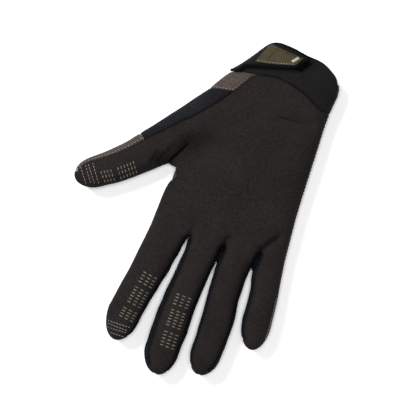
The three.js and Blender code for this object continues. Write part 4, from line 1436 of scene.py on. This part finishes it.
@dataclass
class GripPrint:
    """Silicone grip bars and conductive stitching on the finger fronts."""

    form: GloveForm
    view: View
    materials: dict[str, bpy.types.Material]
    bar: Triple = (1.25, 0.38, 0.32)
    thread: Triple = (0.85, 0.22, 0.24)
    blocks: tuple[GripBlock, ...] = (
        GripBlock("thumb", (102.3, 172.9), (111.7, 171.1), (105.4, 181.4), 4),
        GripBlock("thumb", (118.9, 169.1), (134.3, 163.1), (121.4, 178.0), 6),
        GripBlock("index", (145.6, 272.0), (140.5, 281.0), (155.9, 277.8), 4),
        GripBlock("index", (137.3, 286.5), (129.6, 300.9), (147.6, 292.3), 6),
        GripBlock("index", (125.7, 307.1), (121.5, 315.1), (136.3, 312.5), 4),
        GripBlock("middle", (178.6, 293.6), (175.0, 302.9), (190.0, 297.9), 4),
        GripBlock("middle", (173.2, 308.9), (168.2, 323.6), (184.3, 313.2), 6),
        GripBlock("middle", (166.4, 330.4), (162.1, 343.6), (177.1, 334.6), 5),
    )
    tip_lines: dict[str, tuple] = field(default_factory=lambda: {
        "thumb": (((81.4, 166.6), (87.1, 184.3)), ((86.3, 164.9), (91.7, 183.7)),
                  ((89.1, 164.3), (95.7, 184.3)), ((93.4, 162.6), (99.7, 184.3))),
        "index": (((107.7, 319.3), (130.8, 327.0)), ((108.4, 322.5), (127.6, 329.9)),
                  ((107.1, 326.0), (127.6, 332.4)), ((110.6, 331.5), (124.4, 336.3))),
    })

    def build(self) -> None:
        """Makes the bars and the thread lines."""
        for digit in ("thumb", "index", "middle"):
            self._bars(digit)
        for digit, lines in self.tip_lines.items():
            self._threads(digit, lines)

    def _bars(self, digit: str) -> None:
        """Lays a digit's blocks of bars on its surface, each bar across the digit."""
        spots, runs = [], []
        for b in (b for b in self.blocks if b.digit == digit):
            first, last, across = (np.array(p) for p in (b.first, b.last, b.across))
            u = np.linspace(0, 1, b.rows)[:, None, None]
            v = np.linspace(0, 1, b.columns)[None, :, None]
            grid = first + (last - first) * u + (across - first) * v
            spots.append(grid.reshape(-1, 2))
            runs.append(np.broadcast_to(across - first, grid.shape).reshape(-1, 2))
        plan = self.view.plan(np.vstack(spots))
        ahead = self.view.plan(np.vstack(spots) + np.vstack(runs)) - plan
        here, normals = self.form.frames(plan)
        size = (self.bar[0] * (0.85 if digit == "thumb" else 1.0), *self.bar[1:])
        run = np.column_stack([ahead, np.zeros(len(ahead))])
        piece = beads(f"grip_bars_{digit}", here, run, normals, size, self.form.shift, 0.5, 12, 6)
        dress(piece, "palm_suede", self.materials["silicone"])

    def _threads(self, digit: str, lines: tuple) -> None:
        """Lays a digit's conductive stitch lines on its surface."""
        spots, runs = [], []
        for start, end in lines:
            a, b = self.view.plan(np.array([start, end]))
            count = max(3, round(float(np.linalg.norm(b - a)) / 2.0))
            t = (np.arange(count) + 0.5)[:, None] / count
            spots.append(a + (b - a) * t)
            runs.append(np.broadcast_to(b - a, (count, 2)))
        plan = np.vstack(spots)
        here, normals = self.form.frames(plan)
        run = np.column_stack([np.vstack(runs), np.zeros(len(plan))])
        slope = -(normals[:, :2] * run[:, :2]).sum(axis=1) / np.maximum(normals[:, 2], 0.1)
        run[:, 2] = slope
        piece = beads(f"tip_stitches_{digit}", here, run, normals, self.thread, self.form.shift, 0.9, 8, 5)
        dress(piece, "palm_suede", self.materials["pale_thread"])


@dataclass(frozen=True)
class Box:
    """A box in plan, in mm."""

    left: float
    low: float
    right: float
    high: float

    def holds(self, p: Array) -> Array:
        """Whether each point lies in the box."""
        inside = (p[:, 0] > self.left) & (p[:, 0] < self.right)
        return inside & (p[:, 1] > self.low) & (p[:, 1] < self.high)


@dataclass
class SeamStitching:
    """Thread along the seams: pale beside the brown pieces, dark elsewhere."""

    skin: Skin
    materials: dict[str, bpy.types.Material]
    pitch: float = 2.3
    stitch: Triple = (0.8, 0.2, 0.22)
    inset: float = 1.0
    seam_gap: float = 0.24
    sink: float = 0.12
    over_floor: float = 0.6
    edge_stitch: Triple = (0.65, 0.3, 0.32)

    def _edge_loops(self, cut: Cut) -> list[Array]:
        """Loops of point numbers round a piece's free edges."""
        after = dict(zip(cut.edges[:, 0].tolist(), cut.edges[:, 1].tolist()))
        loops = []
        while after:
            start, at = next(iter(after.items()))
            loop = [start]
            del after[start]
            while at != start and at in after:
                loop.append(at)
                at = after.pop(at)
            loops.append(np.array(loop))
        return loops

    def build(self, label: str, thread: str, slot: str, bare: tuple[Box, ...] = ()) -> None:
        """Sews a line of stitches inside a piece's edge.

        Args:
            label: the piece.
            thread: the thread's finish.
            slot: material slot of the record.
            bare: plan boxes that it is left out of.
        """
        cut = cut_piece(self.skin, label, self.seam_gap)
        inner = np.zeros_like(cut.points)
        for end in (0, 1):
            i = cut.edges[:, end]
            m = np.cross(cut.normals[i], cut.points[cut.edges[:, 1]] - cut.points[cut.edges[:, 0]])
            np.add.at(inner, i, m / np.maximum(np.linalg.norm(m, axis=1), 1e-9)[:, None])
        centres, runs, normals = [], [], []
        for loop in self._edge_loops(cut):
            into = inner[loop] / np.maximum(np.linalg.norm(inner[loop], axis=1), 1e-9)[:, None]
            line = cut.points[loop] + into * self.inset
            line = np.column_stack([line, cut.normals[loop]])
            line = np.vstack([line, line[:1]])
            run = run_of(line[:, :3])
            at = np.arange(self.pitch / 2, run[-1], self.pitch)
            dense = np.stack([np.interp(at, run, line[:, k]) for k in range(6)], axis=1)
            ahead = np.stack([np.interp(at + 0.4, run, line[:, k]) for k in range(3)], axis=1) - dense[:, :3]
            centres.append(dense[:, :3])
            normals.append(dense[:, 3:])
            runs.append(ahead)
        c, r, m = (np.vstack(x) for x in (centres, runs, normals))
        good = np.linalg.norm(r, axis=1) > 0.05
        good &= c[:, 2] > self.over_floor
        for box in bare:
            good &= ~box.holds(c)
        m = m[good] / np.linalg.norm(m[good], axis=1)[:, None]
        size, shift = self.stitch, self.skin.form.shift
        spots = c[good] - m * self.sink
        piece = beads(f"{label}_stitches_{thread}", spots, r[good], m, size, shift, 0.9, 8, 5)
        dress(piece, slot, self.materials[thread])

    def side_line(self, band: str, label: str, thread: str, slot: str, low: float, high: float,
                  inset: float = 1.15, pitch: float = 1.7) -> None:
        """Sews a line of short stitches on the palm side, just inside the outline of one band.

        Args:
            band: stretch of the outline.
            label: the piece that they lie on.
            thread: the thread's finish.
            slot: material slot of the record.
            low: where it ends, up the plan in mm.
            high: where it starts.
            inset: plan distance from the outline.
            pitch: stitch spacing.
        """
        f = self.skin.form
        quads = next(b.quads for b in f.bands if b.name == band)
        part = slice(f.first[band], f.first[band] + quads * f.fine + 1)
        line = f.at[part] + f.into[part] * inset
        line = line[(line[:, 1] > low) & (line[:, 1] < high)]
        line = resample(line, round(float(run_of(line)[-1]) / pitch))
        here, normals = f.frames((line[1:] + line[:-1]) / 2)
        run = np.column_stack([line[1:] - line[:-1], np.zeros(len(here))])
        run += np.array([0.5, 0.2, 0.0]) * np.where(np.arange(len(here)) % 2, 1, -1)[:, None]
        piece = beads(f"{label}_stitches_{thread}", here, run, normals, self.edge_stitch, f.shift, 0.9, 8, 5)
        dress(piece, slot, self.materials[thread])


@dataclass
class Closure:
    """Padded tab over the cuff, with its bound edge, moulded patch, pale bar and hooks."""

    form: GloveForm
    materials: dict[str, bpy.types.Material]
    thickness: float = 2.4
    clearance_root: float = 0.45
    clearance_end: float = 2.0
    lower: tuple = ((-0.12, 0.814), (-0.092, 0.843), (-0.025, 0.868), (0.093, 0.901), (0.24, 0.94))
    upper: tuple = ((0.075, 1.038), (0.162, 1.041), (0.318, 1.022))
    root: tuple[float, float] = (0.809, 0.985)
    patch: tuple = ((-0.02, 0.882), (0.24, 0.952), (0.279, 1.008), (0.058, 1.02))
    bar: tuple = ((0.2, 0.968), (0.22, 0.96), (0.254, 0.998), (0.236, 1.006))
    patch_field: tuple = ((0.2, 0.9), (0.15, 0.93))
    patch_gap: float = 0.35
    patch_thickness: float = 1.2
    field_depth: float = 0.75
    bar_thickness: float = 0.6
    stitch_count: int = 13
    stitch: Triple = (0.62, 0.24, 0.22)
    binding: float = 0.95
    hook_clearance: float = 0.45
    hook_base: float = 0.7
    hook: Triple = (0.24, 0.2, 0.5)
    hooks: tuple = ((0.17, 0.93), (0.296, 0.937), (0.346, 1.0), (0.2, 1.01))

    def _tab_frames(self, rows: int, cols: int) -> tuple[Array, Array]:
        """Grid of points and normals under the tab, from the thumb-side edge to its end."""
        f = self.form
        _, line, _ = split_at(f.thumb_upper, [self.root[1] * f.palm_length, self.root[0] * f.palm_length])
        root = resample(line, rows)[::-1]
        low = resample(smooth_line(np.vstack([root[:1], f.plan(self.lower)])), 60)
        high = resample(smooth_line(np.vstack([root[-1:], f.plan(self.upper)])), 60)
        share = np.linspace(0, 1, cols + 1) ** 1.3
        at = np.linspace(0, 1, 61)
        low, high = (np.stack([np.interp(share, at, e[:, k]) for k in (0, 1)], axis=1) for e in (low, high))
        t = np.linspace(0, 1, rows + 1)[:, None, None]
        plan = low[None] * (1 - t) + high[None] * t
        points, normals = f.frames(plan.reshape(-1, 2))
        points, normals = points.reshape(rows + 1, cols + 1, 3), normals.reshape(rows + 1, cols + 1, 3)
        points[:, 0] = np.column_stack([root, f.middle(root)])
        normals[:, 0] = (-0.84, 0.54, 0)
        return points, normals

    def _quad_frames(self, corners: tuple, rows: int, cols: int) -> tuple[Array, Array]:
        """Grid of points and normals over a four-cornered plan shape."""
        a, b, c, d = self.form.plan(corners)
        u = np.linspace(0, 1, cols + 1)[None, :, None]
        v = np.linspace(0, 1, rows + 1)[:, None, None]
        plan = (a * (1 - u) + b * u) * (1 - v) + (d * (1 - u) + c * u) * v
        points, normals = self.form.frames(plan.reshape(-1, 2))
        return points.reshape(rows + 1, cols + 1, 3), normals.reshape(rows + 1, cols + 1, 3)

    def _slab(self, name: str, points: Array, normals: Array, low: Array, thick: Array, edge: float,
              relief: Array | None = None) -> bpy.types.Object:
        """Rounded slab: top and bottom part from the rim by a quarter-circle profile of the distance to it.

        Args:
            name: name of the piece.
            points: grid of points that it follows.
            normals: their normals.
            low: height of its underside over each.
            thick: thickness over each.
            edge: radius of the rounded edge.
            relief: extra height of the top face.

        Returns:
            The closed mesh object.
        """
        rows, cols = points.shape[:2]
        border = np.vstack([points[0], points[-1], points[1:-1, 0], points[1:-1, -1]])
        off = np.sqrt(((points.reshape(-1, 1, 3) - border[None]) ** 2).sum(axis=2))
        off = off.min(axis=1).reshape(rows, cols)
        swell = np.sqrt(np.clip(1 - (1 - np.clip(off / edge, 0, 1)) ** 2, 0, 1))
        top = low + thick * (0.5 + 0.5 * swell) + (0 if relief is None else relief * swell)
        base = low + thick * 0.5 * (1 - swell)
        upper = (points + normals * top[..., None]).reshape(-1, 3)
        under = (points + normals * base[..., None]).reshape(-1, 3)
        inside = np.zeros((rows, cols), bool)
        inside[1:-1, 1:-1] = True
        inside_flat, count = inside.reshape(-1), rows * cols
        number = np.where(inside_flat, np.cumsum(inside_flat) - 1 + count, np.arange(count))
        net, deep = np.arange(count).reshape(rows, cols), number.reshape(rows, cols)
        cells, back = cells_of(net).reshape(-1, 4), cells_of(deep).reshape(-1, 4)
        a, b, c, d = (upper[cells[:, k]] for k in range(4))
        up = (np.cross(c - a, d - b) * normals.reshape(-1, 3)[cells[:, 0]]).sum() > 0
        faces = [cells, back[:, ::-1]] if up else [cells[:, ::-1], back]
        all_points = np.vstack([upper, under[inside.reshape(-1)]])
        flat = np.stack([run_of(points[:, cols // 2])[:, None] * np.ones((1, cols)),
                         run_of(points[rows // 2])[None] * np.ones((rows, 1))], axis=2).reshape(-1, 2)
        spot = np.vstack([flat, flat[inside.reshape(-1)]])
        cloth = np.vstack([spot[f.reshape(-1)] for f in faces])
        seam = np.concatenate([off.reshape(-1), off.reshape(-1)[inside.reshape(-1)]])
        return make_object(name, all_points, faces, self.form.shift, cloth, seam)

    def build(self) -> None:
        """Makes tab, binding, patch, bar, stitches and hooks."""
        rows, cols = 28, 90
        points, normals = self._tab_frames(rows, cols)
        share = np.linspace(0, 1, cols + 1)[None] * np.ones((rows + 1, 1))
        low = self.clearance_root + (self.clearance_end - self.clearance_root) * ease(share * 1.6)
        thick = self.thickness * (0.5 + 0.5 * ease(share * 5))
        tab = self._slab("closure_tab_pad", points, normals, low, thick, 1.1)
        dress(tab, "tab_pad", self.materials["tab_cloth"], ("closure_tab",))
        middle = points + normals * (low + thick * 0.5)[..., None]
        edge = np.vstack([middle[0], middle[1:, -1], middle[-1, -2::-1]])
        path = resample(edge, 170)
        binding = tube("tab_binding", path, self.binding, self.form.shift)
        dress(binding, "tab_pad", self.materials["tab_edge"])
        self._patch()
        self._hooks()

    def _patch(self) -> None:
        """Moulded patch with a sunk field, its pale bar and the stitches on its lower edge."""
        base = self.clearance_end + self.thickness + self.patch_gap
        points, normals = self._quad_frames(self.patch, 40, 60)
        v = np.linspace(0, 1, 41)[:, None] * np.ones((1, 61))
        u = np.linspace(0, 1, 61)[None] * np.ones((41, 1))
        (left, right), (under, top) = self.patch_field
        field_in = (ease((v - under) / 0.04) * ease((top - v) / 0.04)
                    * ease((u - left) / 0.03) * ease((right - u) / 0.03))
        low, thick = np.full_like(u, base), np.full_like(u, self.patch_thickness)
        relief = -self.field_depth * field_in
        patch = self._slab("tab_patch_moulded", points, normals, low, thick, 0.5, relief)
        dress(patch, "patch_olive", self.materials["olive_moulded"], ("tab_patch",))
        points, normals = self._quad_frames(self.bar, 12, 8)
        face = base + self.patch_thickness + 0.05
        low, thick = np.full(points.shape[:2], face), np.full(points.shape[:2], self.bar_thickness)
        bar = self._slab("tab_bar_moulded", points, normals, low, thick, 0.4)
        dress(bar, "bar_pale", self.materials["pale_bar"], ("tab_bar",))
        a, b = self.form.plan(self.patch)[:2]
        t = (np.arange(self.stitch_count)[:, None] + 0.5) / self.stitch_count
        plan = a + (b - a) * (0.06 + 0.88 * t) + (0, 0.9)
        here, n = self.form.frames(plan)
        run = np.tile(np.append(b - a, 0), (self.stitch_count, 1))
        stitches = beads("patch_stitches", here + n * face, run, n, self.stitch, self.form.shift, 0.9)
        dress(stitches, "patch_olive", self.materials["pale_thread"])

    def _hooks(self) -> None:
        """Black hook pad under the tab's end: a base with rows of short leaning hooks."""
        points, normals = self._quad_frames(self.hooks, 16, 16)
        low = np.full(points.shape[:2], self.hook_clearance)
        thick = np.full(points.shape[:2], self.hook_base)
        pad = self._slab("hook_pad_base", points, normals, low, thick, 0.3)
        dress(pad, "hook_black", self.materials["hook_black"], ("hook_pad",))
        rng = np.random.default_rng(11)
        points, normals = self._quad_frames(self.hooks, 22, 26)
        p, n = points[1:-1, 1:-1].reshape(-1, 3), normals[1:-1, 1:-1].reshape(-1, 3)
        lean = n + rng.normal(scale=0.35, size=n.shape)
        lean /= np.linalg.norm(lean, axis=1)[:, None]
        side = np.cross(lean, (1.0, 0.2, 0.0))
        p = p + rng.normal(scale=0.25, size=p.shape)
        foot = self.hook_clearance + self.hook_base + 0.1
        hooks = beads("hook_pile", p + n * foot, side, lean, self.hook, self.form.shift, 0.8, 6, 5)
        dress(hooks, "hook_black", self.materials["hook_black"])


@dataclass(frozen=True)
class Light:
    """An area light: power in watts, size and place in metres."""

    name: str
    power: float
    size: float
    place: Triple


@dataclass
class Studio:
    """Pale floor, soft lights and even surroundings."""

    floor_size: float = 3.0
    surroundings: float = 0.22
    lights: tuple[Light, ...] = (
        Light("overhead", 25.0, 0.6, (0.0, 0.0, 1.7)),
        Light("key", 18.0, 0.4, (-0.8, 0.38, 0.95)),
    )

    def build(self) -> None:
        """Makes floor, lights and world."""
        s = self.floor_size * 1000 / 2
        points = np.array([[-s, -s, -0.3], [s, -s, -0.3], [s, s, -0.3], [-s, s, -0.3]], float)
        floor = make_object("floor", points, [np.array([[0, 1, 2, 3]])], np.zeros(3))
        material = bpy.data.materials.new("pale_floor")
        material.use_nodes = True
        n = Nodes(material.node_tree)
        shader = material.node_tree.nodes["Principled BSDF"]
        place = n.add("ShaderNodeTexCoord").outputs["Object"]
        colour = n.blend(n.noise(place, 3.0), (0.86, 0.86, 0.86, 1), (0.9, 0.9, 0.9, 1))
        n.tree.links.new(colour, shader.inputs["Base Color"])
        shader.inputs["Roughness"].default_value = 0.9
        floor.data.materials.append(material)
        for light in self.lights:
            data = bpy.data.lights.new(light.name, "AREA")
            data.energy, data.size = light.power, light.size
            lamp = bpy.data.objects.new(light.name, data)
            lamp.location = light.place
            x, y, z = light.place
            lamp.rotation_euler = (math.atan2(math.hypot(x, y), z), 0, math.atan2(-y, -x) - math.pi / 2)
            bpy.context.scene.collection.objects.link(lamp)
        world = bpy.data.worlds.new("surroundings")
        world.use_nodes = True
        world.node_tree.nodes["Background"].inputs[0].default_value = (1, 1, 1, 1)
        world.node_tree.nodes["Background"].inputs[1].default_value = self.surroundings
        bpy.context.scene.world = world


def corners(box: tuple) -> list[list[float]]:
    """Two corners as plain lists."""
    return [[float(v) for v in corner] for corner in box]


def main() -> None:
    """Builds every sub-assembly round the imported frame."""
    logging.basicConfig(level=logging.INFO, format="%(message)s")
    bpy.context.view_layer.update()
    groups = {g.name: g for g in (grain_group(), knit_group(), mesh_group(), seam_shade_and_wear_group(), fold_shade_group())}
    form = GloveForm()
    materials = {cloth.name: cloth.build(groups, form) for cloth in CLOTHS}
    materials |= {moulding.name: moulding.build(groups) for moulding in MOULDINGS}
    view = View()
    view.place_camera(form.shift)
    skin = Skin(form)
    log.info("skin: %d points, shift %s", len(skin.points), form.shift)
    SewnShell(skin, materials).build()
    WebGussets(form, view, materials).build()
    GripPrint(form, view, materials).build()
    sewing = SeamStitching(skin, materials)
    bare = (Box(-20.0, 87.6, 1.5, 98.0), Box(-34.0, 2.0, -20.0, 24.0))
    sewing.build("back_panel", "pale_thread", "back_fabric", bare=bare)
    sewing.build("palm_panel", "dark_thread", "palm_suede")
    sewing.side_line("little_outer", "palm_panel", "pale_thread", "palm_suede", -67.0, -39.0)
    Closure(form, materials).build()
    Studio().build()
    bpy.context.scene.view_settings.view_transform = "Standard"


if __name__ == "__main__":
    main()
